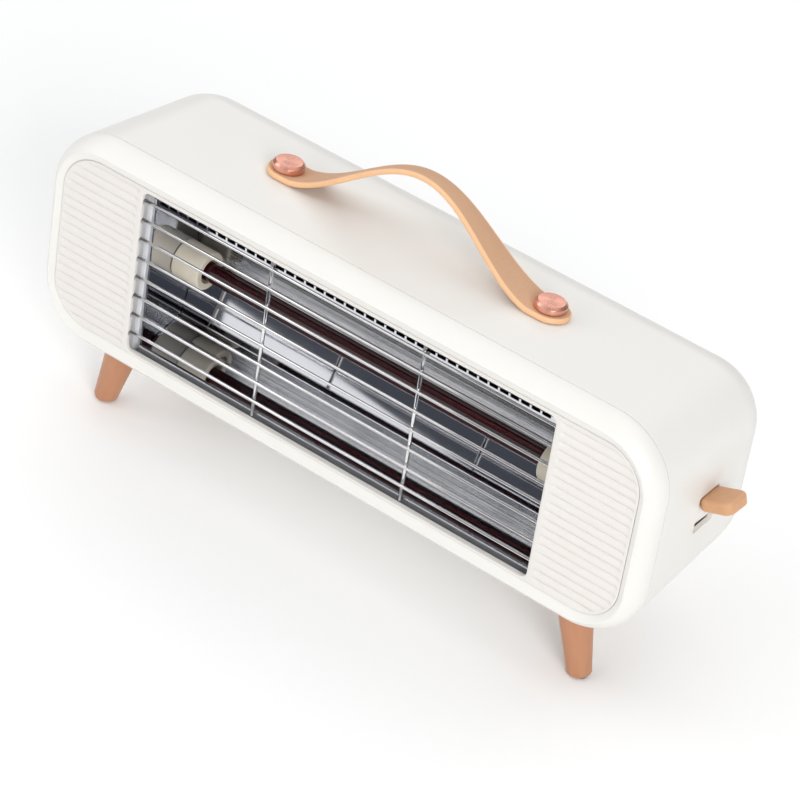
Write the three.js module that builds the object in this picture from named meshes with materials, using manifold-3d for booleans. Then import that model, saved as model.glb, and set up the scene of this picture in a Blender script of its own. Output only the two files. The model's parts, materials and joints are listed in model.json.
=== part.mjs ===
// Table-top radiant heater: a rounded white housing on four splayed feet, a wire guard in front of a
// polished trough reflector, one quartz tube held by two ceramic caps, a leather carrying strap on top and
// a toggle lever in the right-hand side.
// Body frame used below, in millimetres: x runs along the heater, y from the front rim to the back,
// z up, with x = 0 and z = 0 on the housing's centre line and y = 0 just in front of the rim.
import * as THREE from 'three';
import { mergeVertices } from 'three/addons/utils/BufferGeometryUtils.js';
import Module from 'manifold-3d';

const wasm = await Module();
wasm.setup();

// ---------------------------------------------------------------------------------------------
// Driving dimensions
// ---------------------------------------------------------------------------------------------
const GAP = 0.3;                 // clearance between neighbouring pieces

// Housing
const WIDTH = 370;
const HEIGHT = 123;
const DEPTH = 115;
const SIDE_TAPER = 5.3;          // how far each side draws in from front to back
const TOP_TAPER = 10.8;          // how far the top and the underside draw in from front to back
const CORNER_FRONT = 35;
const CORNER_BACK = 30;
const RIM_RADIUS = 15;           // rounding of the front rim
const BACK_RADIUS = 26;          // rounding of the back edge
const SEAM_Y = 14.8;             // joint between the bezel and the rear shell
const TONGUE_BACK_Y = 18;
const WALL = 2.6;
const CORNER_STEPS = 8;

// Front insert with its ribs and window
const CREST_INSET = 5;           // where the rounded rim turns into the bevel
const RIM_Y = 2.25;              // foremost line of the rim
const BEVEL_EDGE = { sides: 6.2, top: 7.5, bottom: 7.5, radius: 28.3 };
const RECESS_EDGE = { sides: 10.2, top: 12.6, bottom: 12.2, radius: 22.1 };
const RECESS_FLOOR_Y = 8.2;      // back of the bezel's inner lip
const INSERT_FRONT = 3.9;
const INSERT_BACK = 6.0;
const RIB_PITCH = 5;
const RIB_HEIGHT = 1.0;
const WINDOW_HALF = 124.8;
const WINDOW_TOP = 46.3;
const WINDOW_BOTTOM = -47.6;
const WINDOW_CORNER = 4;

// Wire guard
const WIRE_RADIUS = 0.85;
const WIRE_Y = INSERT_BACK + 0.25 + WIRE_RADIUS;
const WIRE_COUNT = 8;
const WIRE_TOP = 39.9;
const WIRE_STEP = 11.15;
const WIRE_HALF = 130;
const STAY_RADIUS = 1;
const STAY_Y = WIRE_Y + 1.6;
const STAY_PLACES = [-129, -46.3, 46.3, 129];
const STAY_HALF = 47.8;

// Reflector
const SHEET = 0.8;
const TROUGH_HALF = 121.9;
const LIP_Y = 10.1;
const END_X = 122.2;
const END_STEP_Y = 13;
const END_FLANGE_X = 125.4;
const END_FLANGE_OUT = 133;
const END_TOP = 49.5;
const END_BOTTOM = -52;
const SLOT_PITCH = 6.1;
const SLOT_LENGTH = 5;
const SLOT_LOW = 39.6;
const SLOT_HIGH = 41.5;
const SLOT_COUNT = 39;

// Quartz tube and its caps
const TUBE_Y = 39.75;
const TUBE_Z = -6.3;
const TUBE_RADIUS = 5;
const TUBE_BORE = 4;
const TUBE_HALF = 114;
const CAP_RADIUS = 10.3;
const CAP_LENGTH = 17;
const CAP_START = END_X - GAP;
const SPIGOT_RADIUS = 6;
const SPIGOT_REACH = 5.5;

// Carrying strap
const HANDLE_Y = 58.2;
const RIVET_X = 79.7;
const STRAP_WIDTH = 21;
const STRAP_WAIST = 13.5;
const STRAP_THICK = 3;
const STRAP_RISE = 34.5;
const STRAP_SPAN = 79;           // half the arched length
const STRAP_TILT = 8;            // degrees that the top of the arch leans back
const RIVET_RADIUS = 8.2;
const RIVET_HEIGHT = 4.2;
const SCREW_RADIUS = 2;

// Toggle lever
const LEVER_X = 164.2;
const LEVER_Y = 58.3;
const LEVER_Z = -1;
const LEVER_ANGLE = 19;          // degrees above level at rest
const DRUM_RADIUS = 17.9;
const DRUM_WIDTH = 17.4;
const PADDLE_REACH = 36.7;
const PADDLE_THICK = 6.6;
const SLOT_HALF_HEIGHT = 10.5;
const SLOT_HALF_WIDTH = 9.1;
const PIN_RADIUS = 2.2;
const BRACKET_X = 142.6;         // inner face of the switch bracket
const BRACKET_WALL = 178.5;      // outer face of its flanges, on the housing's side wall
const BRACKET_SHEET = 1.2;

// Feet
const FLOOR_Z = -102;
const FRONT_FOOT = { topX: 140.9, topY: 26, tipX: 151.8, tipY: 26.5 };
const BACK_FOOT = { topX: 110, topY: 75, tipX: 120, tipY: 78 };
const PAD_THICK = 1;
const PAD_RADIUS = 4.2;

// Back wall
const VENT_PITCH = 9;
const VENT_COUNT = 17;
const VENT_WIDTH = 3;
const VENT_LENGTH = 38;
const GLAND_X = 118;
const GLAND_Z = -10;
const GLAND_RADIUS = 6;
const VENT_START = -120;
const POST_X = 160.5;            // screw posts that join the bezel to the shell
const POST_Z = 35.5;
const POST_RADIUS = 4.4;
const POST_FRONT_Y = 18.6;
const BOSS_RADIUS = 3.6;
const SCREW_BORE = 1.9;
const HEAD_BORE = 3.3;
const HEAD_SEAT_Y = 32;
const WEB_RADIUS = 2.9;
const WEB_Y = 9.8;
const WEB_REACH = 7.5;           // how far each web runs out towards the corner

// ---------------------------------------------------------------------------------------------
// Finishes
// ---------------------------------------------------------------------------------------------
const finish = (color, roughness, metalness = 0) =>
  new THREE.MeshStandardMaterial({ color, roughness, metalness });

const WHITE_PLASTIC = finish(0xefeeea, 0.45);
const RIB_PLASTIC = finish(0xefebe6, 0.55);
const CHROME = finish(0xd8d8da, 0.12, 1);
const POLISHED = finish(0xb9bcc2, 0.15, 1);
const GALVANISED = finish(0xa4a8ac, 0.45, 1);
const STEEL = finish(0x8e9196, 0.35, 1);
const CERAMIC = finish(0xe0d6c4, 0.6);
const RUBY = finish(0x5a0f16, 0.08);
const COIL = finish(0x6a625c, 0.5, 1);
const LEATHER = finish(0xdeb28c, 0.65);
const COPPER = finish(0xcf9a86, 0.22, 1);
const LEVER_TAN = finish(0xdca578, 0.4);
const FOOT_TAN = finish(0xba8060, 0.45);
const DARK_RUBBER = finish(0x2c2a29, 0.85);
const BLACK_PLASTIC = finish(0x2b2b2d, 0.5);
const CREAM_PLASTIC = finish(0xe6dfcf, 0.5);
const LEAD_SLEEVE = finish(0xd9d6cf, 0.7);

// ---------------------------------------------------------------------------------------------
// Geometry helpers
// ---------------------------------------------------------------------------------------------
const vec2 = (x, y) => new THREE.Vector2(x, y);
const vec3 = (x, y, z) => new THREE.Vector3(x, y, z);
const radians = THREE.MathUtils.degToRad;

// Merge shared corners, drop empty triangles and turn the faces outward.
function closedBody(source) {
  const bare = new THREE.BufferGeometry();
  bare.setAttribute('position', source.getAttribute('position'));
  if (source.index) bare.setIndex(source.index);
  const merged = mergeVertices(bare, 1e-4);
  const kept = [];
  const corners = merged.index.array;
  for (let i = 0; i < corners.length; i += 3) {
    const [a, b, c] = [corners[i], corners[i + 1], corners[i + 2]];
    if (a !== b && b !== c && c !== a) kept.push(a, b, c);
  }
  merged.setIndex(signedVolume(merged, kept) < 0 ? kept.reverse() : kept);
  merged.computeVertexNormals();
  return merged;
}

function signedVolume(geometry, corners) {
  const place = geometry.getAttribute('position');
  const [a, b, c] = [vec3(), vec3(), vec3()];
  let volume = 0;
  for (let i = 0; i < corners.length; i += 3) {
    a.fromBufferAttribute(place, corners[i]);
    b.fromBufferAttribute(place, corners[i + 1]);
    c.fromBufferAttribute(place, corners[i + 2]);
    volume += a.dot(b.cross(c)) / 6;
  }
  return volume;
}

function toSolid(source) {
  const body = closedBody(source);
  return new wasm.Manifold(new wasm.Mesh({
    numProp: 3,
    vertProperties: new Float32Array(body.getAttribute('position').array),
    triVerts: new Uint32Array(body.index.array),
  }));
}

function toGeometry(solid) {
  const mesh = solid.getMesh();
  const geometry = new THREE.BufferGeometry();
  geometry.setAttribute('position', new THREE.BufferAttribute(mesh.vertProperties, 3));
  geometry.setIndex(new THREE.BufferAttribute(mesh.triVerts, 1));
  return geometry;
}

const cut = (body, ...tools) =>
  toGeometry(tools.reduce((rest, tool) => rest.subtract(toSolid(tool)), toSolid(body)));
const join = (body, ...others) =>
  toGeometry(others.reduce((sum, other) => sum.add(toSolid(other)), toSolid(body)));
const common = (body, other) => toGeometry(toSolid(body).intersect(toSolid(other)));

// Extrusions of a flat shape along each axis of the body frame.
function extrude(shape, length, options = {}) {
  const plain = { depth: length, bevelEnabled: false, curveSegments: 3 };
  return new THREE.ExtrudeGeometry(shape, { ...plain, ...options });
}

function extrudeAlongX(shapeYZ, from, to) {
  const turn = new THREE.Matrix4().makeBasis(vec3(0, 1, 0), vec3(0, 0, 1), vec3(1, 0, 0));
  return extrude(shapeYZ, to - from).applyMatrix4(turn).translate(from, 0, 0);
}

function extrudeAlongY(shapeXZ, from, to) {
  const turn = new THREE.Matrix4().makeBasis(vec3(1, 0, 0), vec3(0, 0, 1), vec3(0, -1, 0));
  return extrude(shapeXZ, to - from).applyMatrix4(turn).translate(0, to, 0);
}

function box(fromX, toX, fromY, toY, fromZ, toZ) {
  return new THREE.BoxGeometry(toX - fromX, toY - fromY, toZ - fromZ)
    .translate((fromX + toX) / 2, (fromY + toY) / 2, (fromZ + toZ) / 2);
}

function rod(radius, start, end, sides = 16) {
  const along = end.clone().sub(start);
  const turn = new THREE.Quaternion().setFromUnitVectors(vec3(0, 1, 0), along.clone().normalize());
  const middle = start.clone().add(end).multiplyScalar(0.5);
  return new THREE.CylinderGeometry(radius, radius, along.length(), sides)
    .applyQuaternion(turn)
    .translate(middle.x, middle.y, middle.z);
}

// A turned piece: profile points are [radius, distance along the axis from `start`].
function turned(profile, start, direction, sides = 24) {
  const turn = new THREE.Quaternion().setFromUnitVectors(vec3(0, 1, 0), direction.clone().normalize());
  return new THREE.LatheGeometry(profile.map(([r, along]) => vec2(r, along)), sides)
    .applyQuaternion(turn)
    .translate(start.x, start.y, start.z);
}

function roundedRectShape(left, right, bottom, top, radius) {
  const shape = new THREE.Shape();
  shape.absarc(right - radius, top - radius, radius, 0, Math.PI / 2);
  shape.absarc(left + radius, top - radius, radius, Math.PI / 2, Math.PI);
  shape.absarc(left + radius, bottom + radius, radius, Math.PI, 1.5 * Math.PI);
  shape.absarc(right - radius, bottom + radius, radius, 1.5 * Math.PI, 2 * Math.PI);
  return shape;
}

// A bent sheet: the strip of given thickness on the left of a line of points.
function sheetShape(points, thickness) {
  const line = points.map(([a, b]) => vec2(a, b));
  const normals = line.slice(1).map((point, i) => {
    const along = point.clone().sub(line[i]).normalize();
    return vec2(-along.y, along.x);
  });
  const offset = line.map((point, i) => {
    const before = normals[Math.max(i - 1, 0)];
    const after = normals[Math.min(i, normals.length - 1)];
    const mitre = before.clone().add(after);
    return point.clone().add(mitre.multiplyScalar(thickness / (1 + before.dot(after))));
  });
  return new THREE.Shape([...line, ...offset.reverse()]);
}

const topZ = y => HEIGHT / 2 - TOP_TAPER * y / DEPTH;
const sideX = y => WIDTH / 2 - SIDE_TAPER * y / DEPTH;
const SLOPE = Math.atan(TOP_TAPER / DEPTH);

// Rounded rectangle in the plane at depth y.
function roundedOutline(y, halfX, top, bottom, radius) {
  const centres = [
    [halfX - radius, top - radius], [radius - halfX, top - radius],
    [radius - halfX, bottom + radius], [halfX - radius, bottom + radius],
  ];
  return centres.flatMap(([x, z], quarter) =>
    Array.from({ length: CORNER_STEPS + 1 }, (_, i) => {
      const angle = (quarter + i / CORNER_STEPS) * Math.PI / 2;
      return vec3(x + radius * Math.cos(angle), y, z + radius * Math.sin(angle));
    }));
}

// Housing outline at depth y, drawn in by `inset` all round.
function housingOutline(y, inset) {
  const radius = THREE.MathUtils.lerp(CORNER_FRONT, CORNER_BACK, y / DEPTH) - inset;
  return roundedOutline(y, sideX(y) - inset, topZ(y) - inset, inset - topZ(y), radius);
}

// Outline drawn in unevenly, as given by `edge`, and by `extra` all round.
function recessOutline(y, edge, extra = 0) {
  const top = topZ(y) - edge.top - extra;
  const bottom = edge.bottom + extra - topZ(y);
  return roundedOutline(y, sideX(y) - edge.sides - extra, top, bottom, edge.radius - extra);
}

// Skin over a row of equal rings. Without caps the last ring joins the first.
function loft(rings, capped) {
  const count = rings[0].length;
  const spans = capped ? rings.length - 1 : rings.length;
  const faces = [];
  for (let r = 0; r < spans; r += 1) {
    for (let i = 0; i < count; i += 1) {
      const here = r * count;
      const next = ((r + 1) % rings.length) * count;
      const j = (i + 1) % count;
      faces.push(here + i, next + i, next + j, here + i, next + j, here + j);
    }
  }
  if (capped) {
    const flat = ring => ring.map(point => vec2(point.x, point.z));
    const last = (rings.length - 1) * count;
    const triangles = THREE.ShapeUtils.triangulateShape(flat(rings[0]), []);
    triangles.forEach(([a, b, c]) => faces.push(a, b, c, last + a, last + c, last + b));
  }
  const geometry = new THREE.BufferGeometry().setFromPoints(rings.flat());
  geometry.setIndex(faces);
  return geometry;
}

// Frame that stands on the sloping top (or hangs under the underside) with its z axis square to it.
function surfaceFrame(x, y, side) {
  const frame = new THREE.Matrix4().makeRotationX(-side * SLOPE);
  return frame.setPosition(x, y, side * topZ(y));
}

// ---------------------------------------------------------------------------------------------
// Assembly
// ---------------------------------------------------------------------------------------------
const heater = new THREE.Group();

function place(name, geometry, material, parent = heater) {
  const mesh = new THREE.Mesh(closedBody(geometry), material);
  mesh.name = name;
  parent.add(mesh);
  return mesh;
}

const SIDES = [['left', -1], ['right', 1]];

// --- Housing ---------------------------------------------------------------------------------
function backEdge(wall, steps) {
  const radius = BACK_RADIUS - wall;
  return Array.from({ length: steps + 1 }, (_, i) => {
    const angle = (i / steps) * Math.PI / 2;
    const y = DEPTH - BACK_RADIUS + radius * Math.sin(angle);
    return housingOutline(y, wall + radius * (1 - Math.cos(angle)));
  });
}

function filledHousing() {
  return loft([housingOutline(SEAM_Y, 0), ...backEdge(0, 6)], true);
}

function shellSkin() {
  const outside = [housingOutline(SEAM_Y + GAP / 2, 0), ...backEdge(0, 6)];
  const inside = [housingOutline(SEAM_Y + GAP / 2, WALL), ...backEdge(WALL, 4)];
  return loft([...inside.reverse(), ...outside], true);
}

const CORNERS = [[-1, -1], [-1, 1], [1, -1], [1, 1]];

// Point on the screw axis in one corner, at depth y.
const onPost = ([sideX, sideZ], y) => vec3(sideX * POST_X, y, sideZ * POST_Z);

function screwPosts() {
  return CORNERS.map(corner =>
    common(rod(POST_RADIUS, onPost(corner, POST_FRONT_Y), onPost(corner, DEPTH), 10), filledHousing()));
}

function screwBores() {
  return CORNERS.flatMap(corner => [
    rod(SCREW_BORE, onPost(corner, 10), onPost(corner, 40), 10),
    rod(HEAD_BORE, onPost(corner, HEAD_SEAT_Y), onPost(corner, DEPTH + 5), 12),
  ]);
}

function ventSlots() {
  const half = VENT_WIDTH / 2;
  return Array.from({ length: VENT_COUNT }, (_, i) => {
    const x = VENT_START + i * VENT_PITCH;
    const shape = roundedRectShape(x - half, x + half, -VENT_LENGTH / 2, VENT_LENGTH / 2, half - 0.01);
    return extrudeAlongY(shape, DEPTH - 15, DEPTH + 5);
  });
}

function leverSlot() {
  const shape = roundedRectShape(
    LEVER_Y - SLOT_HALF_WIDTH, LEVER_Y + SLOT_HALF_WIDTH,
    LEVER_Z - SLOT_HALF_HEIGHT, LEVER_Z + SLOT_HALF_HEIGHT, 1.5);
  return extrudeAlongX(shape, LEVER_X, WIDTH / 2 + 5);
}

const FEET = [
  ['front_left', -1, FRONT_FOOT], ['front_right', 1, FRONT_FOOT],
  ['back_left', -1, BACK_FOOT], ['back_right', 1, BACK_FOOT],
];

function footFrame(side, foot) {
  return surfaceFrame(side * foot.topX, foot.topY, -1);
}

function housing() {
  const rivetBores = SIDES.map(([, side]) =>
    rod(SCREW_RADIUS + GAP, vec3(0, 0, -10), vec3(0, 0, 10), 12)
      .applyMatrix4(surfaceFrame(side * RIVET_X, HANDLE_Y, 1)));
  const footBores = FEET.map(([, side, foot]) =>
    rod(SCREW_RADIUS + GAP, vec3(0, 0, -8), vec3(0, 0, 8), 12).applyMatrix4(footFrame(side, foot)));
  const outlet = y => vec3(GLAND_X, y, GLAND_Z);
  const glandBore = rod(GLAND_RADIUS + GAP, outlet(DEPTH - 8), outlet(DEPTH + 8), 18);
  const body = join(shellSkin(), ...screwPosts());
  const holes = [...screwBores(), ...ventSlots(), leverSlot(), ...rivetBores, ...footBores, glandBore];
  place('rear_shell', cut(body, ...holes), WHITE_PLASTIC);
}

// Bezel: a rounded rim that falls away into a shallow bevel, with a tongue that enters the shell.
function bezel() {
  const crest = Math.acos(1 - CREST_INSET / RIM_RADIUS);
  const rim = Array.from({ length: 8 }, (_, i) => {
    const angle = crest * (1 - i / 7);
    return [RIM_RADIUS * (1 - Math.cos(angle)), RIM_RADIUS * (1 - Math.sin(angle))];
  });
  rim[rim.length - 1][1] = SEAM_Y - GAP / 2;
  const tongue = WALL + GAP;
  const outside = [
    ...rim, [tongue, SEAM_Y - GAP / 2], [tongue, TONGUE_BACK_Y], [tongue + 2, TONGUE_BACK_Y],
    [tongue + 2, RECESS_FLOOR_Y],
  ];
  const ring = loft([
    recessOutline(RIM_Y, BEVEL_EDGE),
    ...outside.map(([inset, y]) => housingOutline(y, inset)),
    recessOutline(RECESS_FLOOR_Y, RECESS_EDGE),
    recessOutline(4.4, RECESS_EDGE),
  ], false);
  const webs = CORNERS.map(corner => {
    const start = onPost(corner, WEB_Y);
    const outward = vec3(corner[0] * WEB_REACH, 0, corner[1] * WEB_REACH);
    return rod(WEB_RADIUS, start, start.clone().add(outward), 10);
  });
  const bosses = CORNERS.map(corner =>
    rod(BOSS_RADIUS, onPost(corner, 6.4), onPost(corner, POST_FRONT_Y - GAP), 14));
  const holes = CORNERS.map(corner => rod(SCREW_BORE, onPost(corner, 9.5), onPost(corner, 20), 12));
  place('front_bezel', cut(join(ring, ...webs, ...bosses), ...holes), WHITE_PLASTIC);
}

function bezelScrews() {
  const profile = [
    [0, 0], [1.2, 0], [1.55, 1], [1.55, 20.9], [2.9, 20.9], [2.9, 22.6], [2.2, 23.4], [0, 23.4],
  ];
  CORNERS.forEach((corner, i) => {
    place(`bezel_screw_${i + 1}`, turned(profile, onPost(corner, 11.4), vec3(0, 1, 0), 12), STEEL);
  });
}

// --- Front insert: ribbed panels either side of the window --------------------------------------
function ribComb() {
  const half = 10 * RIB_PITCH;
  const groove = INSERT_FRONT + RIB_HEIGHT;
  const edge = [vec2(INSERT_BACK, -half), vec2(groove, -half)];
  for (let rib = 0; rib < 20; rib += 1) {
    const middle = -half + (rib + 0.5) * RIB_PITCH;
    for (const turn of [-75, -35, 35, 75]) {
      const across = Math.sin(radians(turn)) * (RIB_PITCH / 2 - 0.15) / Math.sin(radians(75));
      const lift = (Math.cos(radians(turn)) - Math.cos(radians(75))) / (1 - Math.cos(radians(75)));
      edge.push(vec2(groove - RIB_HEIGHT * lift, middle + across));
    }
  }
  edge.push(vec2(groove, half), vec2(INSERT_BACK, half));
  return new THREE.Shape(edge.reverse());
}

function frontInsert() {
  const rings = [INSERT_FRONT - 0.5, INSERT_BACK].map(y => recessOutline(y, RECESS_EDGE, GAP));
  const outline = loft(rings, true);
  const panels = SIDES.map(([, side]) => {
    const from = side < 0 ? -WIDTH / 2 : WINDOW_HALF;
    const to = side < 0 ? -WINDOW_HALF : WIDTH / 2;
    return extrudeAlongX(ribComb(), from, to);
  });
  const lips = [
    box(-WINDOW_HALF - 1, WINDOW_HALF + 1, INSERT_FRONT, INSERT_BACK, WINDOW_TOP - 3, 52),
    box(-WINDOW_HALF - 1, WINDOW_HALF + 1, INSERT_FRONT, INSERT_BACK, -52, WINDOW_BOTTOM + 3),
  ];
  const half = WINDOW_HALF - 0.01;
  const opening = roundedRectShape(-half, half, WINDOW_BOTTOM, WINDOW_TOP, WINDOW_CORNER);
  const window = extrudeAlongY(opening, 0, 12);
  const plate = common(join(panels[0], panels[1], ...lips), outline);
  place('grille_frame', cut(plate, window), RIB_PLASTIC);
}

function wireGuard() {
  const wires = Array.from({ length: WIRE_COUNT }, (_, i) => {
    const z = WIRE_TOP - i * WIRE_STEP;
    return rod(WIRE_RADIUS, vec3(-WIRE_HALF, WIRE_Y, z), vec3(WIRE_HALF, WIRE_Y, z), 6);
  });
  const stays = STAY_PLACES.map(x =>
    rod(STAY_RADIUS, vec3(x, STAY_Y, -STAY_HALF), vec3(x, STAY_Y, STAY_HALF), 6));
  place('wire_guard', join(...wires, ...stays), CHROME);
}

// --- Reflector ----------------------------------------------------------------------------------
// The trough's section, front lip to front lip, as [y, z].
const TROUGH = [
  [LIP_Y, 53], [LIP_Y, 37.5], [31.2, 33.9], [43.3, 30.6], [51.6, -5.65],
  [43.3, -41.9], [31.2, -45.2], [13.2, -48.8], [12.1, -46.3], [LIP_Y, -46.3], [LIP_Y, -53],
];
const END_PLATE = [
  [END_STEP_Y, END_TOP], [32, 46], [48.5, 38], [57, 10], [58.5, -6],
  [57, -21], [48.5, -47], [32, END_BOTTOM], [END_STEP_Y, END_BOTTOM],
];

// Shield behind the trough, as [y, z].
const SHIELD = [[28, 49.5], [64, 39], [77.5, 14], [77.5, -14], [66, -37], [52, -48]];
const SHIELD_SHEET = 0.6;
const SHIELD_HALF = 118;

function reflector() {
  const trough = extrudeAlongX(sheetShape(TROUGH, SHEET), -TROUGH_HALF, TROUGH_HALF);
  const slots = Array.from({ length: SLOT_COUNT }, (_, i) => {
    const x = (i - (SLOT_COUNT - 1) / 2) * SLOT_PITCH;
    return box(x - SLOT_LENGTH / 2, x + SLOT_LENGTH / 2, LIP_Y - 1, LIP_Y + 2, SLOT_LOW, SLOT_HIGH);
  });
  place('reflector', cut(trough, ...slots), POLISHED);
}

// Bore for the cap's spigot, through the end plate and its retainer.
function spigotBore(side) {
  return rod(SPIGOT_RADIUS + GAP, vec3(side * 110, TUBE_Y, TUBE_Z), vec3(side * 130, TUBE_Y, TUBE_Z), 24);
}

function reflectorEnd(name, side) {
  const outline = new THREE.Shape(END_PLATE.map(([y, z]) => vec2(y, z)).reverse());
  const reach = (fromX, toX, fromY, toY) => {
    const [low, high] = [side * fromX, side * toX].sort((a, b) => a - b);
    return box(low, high, fromY, toY, END_BOTTOM, END_TOP);
  };
  const from = side > 0 ? END_X : -END_X - SHEET;
  const plate = join(
    extrudeAlongX(outline, from, from + SHEET),
    reach(END_X, END_FLANGE_X + SHEET, END_STEP_Y, END_STEP_Y + SHEET),
    reach(END_FLANGE_X, END_FLANGE_X + SHEET, LIP_Y, END_STEP_Y + SHEET),
    reach(END_FLANGE_X, END_FLANGE_OUT, LIP_Y, LIP_Y + SHEET));
  place(name, cut(plate, spigotBore(side)), POLISHED);
}

function heatShield() {
  const sheet = extrudeAlongX(sheetShape(SHIELD, SHIELD_SHEET), -SHIELD_HALF, SHIELD_HALF);
  place('heat_shield', sheet, GALVANISED);
}

// --- Heating tube -------------------------------------------------------------------------------
function heatingTube() {
  const along = vec3(1, 0, 0);
  const start = vec3(0, TUBE_Y, TUBE_Z);
  place('quartz_tube', turned([
    [TUBE_BORE, -TUBE_HALF], [TUBE_RADIUS, -TUBE_HALF],
    [TUBE_RADIUS, TUBE_HALF], [TUBE_BORE, TUBE_HALF], [TUBE_BORE, -TUBE_HALF],
  ], start, along, 24), RUBY);
  place('heating_coil', turned([
    [0, -131], [0.6, -131], [0.6, -110], [1.9, -108],
    [1.9, 108], [0.6, 110], [0.6, 131], [0, 131],
  ], start, along, 10), COIL);
  for (const [word, side] of SIDES) {
    const outward = vec3(side, 0, 0);
    const inner = CAP_START - CAP_LENGTH;
    place(`ceramic_cap_${word}`, turned([
      [6.7, inner], [9.7, inner], [CAP_RADIUS, inner + 0.6], [CAP_RADIUS, CAP_START],
      [SPIGOT_RADIUS, CAP_START], [SPIGOT_RADIUS, CAP_START + SPIGOT_REACH],
      [1.6, CAP_START + SPIGOT_REACH], [1.6, TUBE_HALF + 1],
      [TUBE_RADIUS + GAP, TUBE_HALF + 1], [TUBE_RADIUS + GAP, inner + 7], [6.7, inner + 6], [6.7, inner],
    ], start, outward, 24), CERAMIC);
    const plateX = side * (END_X + SHEET + GAP + 0.5);
    const plate = box(plateX - 0.5, plateX + 0.5, TUBE_Y - 12, TUBE_Y + 12, TUBE_Z - 12, TUBE_Z + 12);
    place(`cap_retainer_${word}`, cut(plate, spigotBore(side)), GALVANISED);
  }
}

// --- Carrying strap -----------------------------------------------------------------------------
// Share of the full arch at x: 0 at the rivets, 1 in the middle.
function archShare(x) {
  const bell = 0.5 * (1 + Math.cos(Math.PI * Math.min(Math.abs(x) / STRAP_SPAN, 1)));
  return Math.max(0, (bell - 0.02) / 0.98);
}

function strapSide() {
  const end = RIVET_X + STRAP_WIDTH / 2 + 2;
  const steps = 46;
  const middle = Array.from({ length: steps + 1 }, (_, i) => {
    const x = -end + (2 * end * i) / steps;
    return [x, GAP + STRAP_THICK / 2 + STRAP_RISE * archShare(x)];
  });
  const half = STRAP_THICK / 2;
  const offset = sign => middle.map(([x, z], i) => {
    const [xa, za] = middle[Math.max(i - 1, 0)];
    const [xb, zb] = middle[Math.min(i + 1, steps)];
    const along = vec2(xb - xa, zb - za).normalize();
    return vec2(x - sign * half * along.y, z + sign * half * along.x);
  });
  return new THREE.Shape([...offset(-1), ...offset(1).reverse()]);
}

function strap() {
  const half = STRAP_WIDTH / 2;
  const sheet = extrudeAlongY(strapSide(), -half, half);
  const point = sheet.getAttribute('position');
  for (let i = 0; i < point.count; i += 1) {
    const share = archShare(point.getX(i));
    const y = point.getY(i) * THREE.MathUtils.lerp(1, STRAP_WAIST / STRAP_WIDTH, share);
    point.setY(i, y);
    point.setZ(i, point.getZ(i) - y * Math.tan(radians(STRAP_TILT)) * share);
  }
  const reach = RIVET_X + half;
  const plan = roundedRectShape(-reach, reach, -half - 0.01, half + 0.01, half);
  const outline = extrude(plan, 80, { curveSegments: 8 }).translate(0, 0, -10);
  const bores = SIDES.map(([, side]) =>
    rod(SCREW_RADIUS + GAP, vec3(side * RIVET_X, 0, -5), vec3(side * RIVET_X, 0, 10), 12));
  return cut(common(sheet, outline), ...bores);
}

function handle() {
  place('leather_strap', strap().applyMatrix4(surfaceFrame(0, HANDLE_Y, 1)), LEATHER);
  for (const [word, side] of SIDES) {
    const frame = surfaceFrame(side * RIVET_X, HANDLE_Y, 1);
    const seat = STRAP_THICK + 2 * GAP;
    place(`strap_screw_${word}`, turned([
      [0, -9.2], [SCREW_RADIUS, -9.2], [SCREW_RADIUS, seat], [RIVET_RADIUS - 0.3, seat],
      [RIVET_RADIUS, seat + 0.4], [RIVET_RADIUS, seat + 2.7], [RIVET_RADIUS - 0.9, seat + RIVET_HEIGHT],
      [0, seat + RIVET_HEIGHT],
    ], vec3(0, 0, 0), vec3(0, 0, 1), 32).applyMatrix4(frame), COPPER);
    const top = -WALL - GAP;
    const washer = rod(6.5, vec3(0, 0, top - 1.2), vec3(0, 0, top), 20);
    const nut = rod(4.4, vec3(0, 0, top - 4.6), vec3(0, 0, top - 1), 6);
    const bore = rod(SCREW_RADIUS + GAP, vec3(0, 0, top - 8), vec3(0, 0, top + 2), 12);
    place(`strap_nut_${word}`, cut(join(washer, nut), bore).applyMatrix4(frame), STEEL);
  }
}

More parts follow.
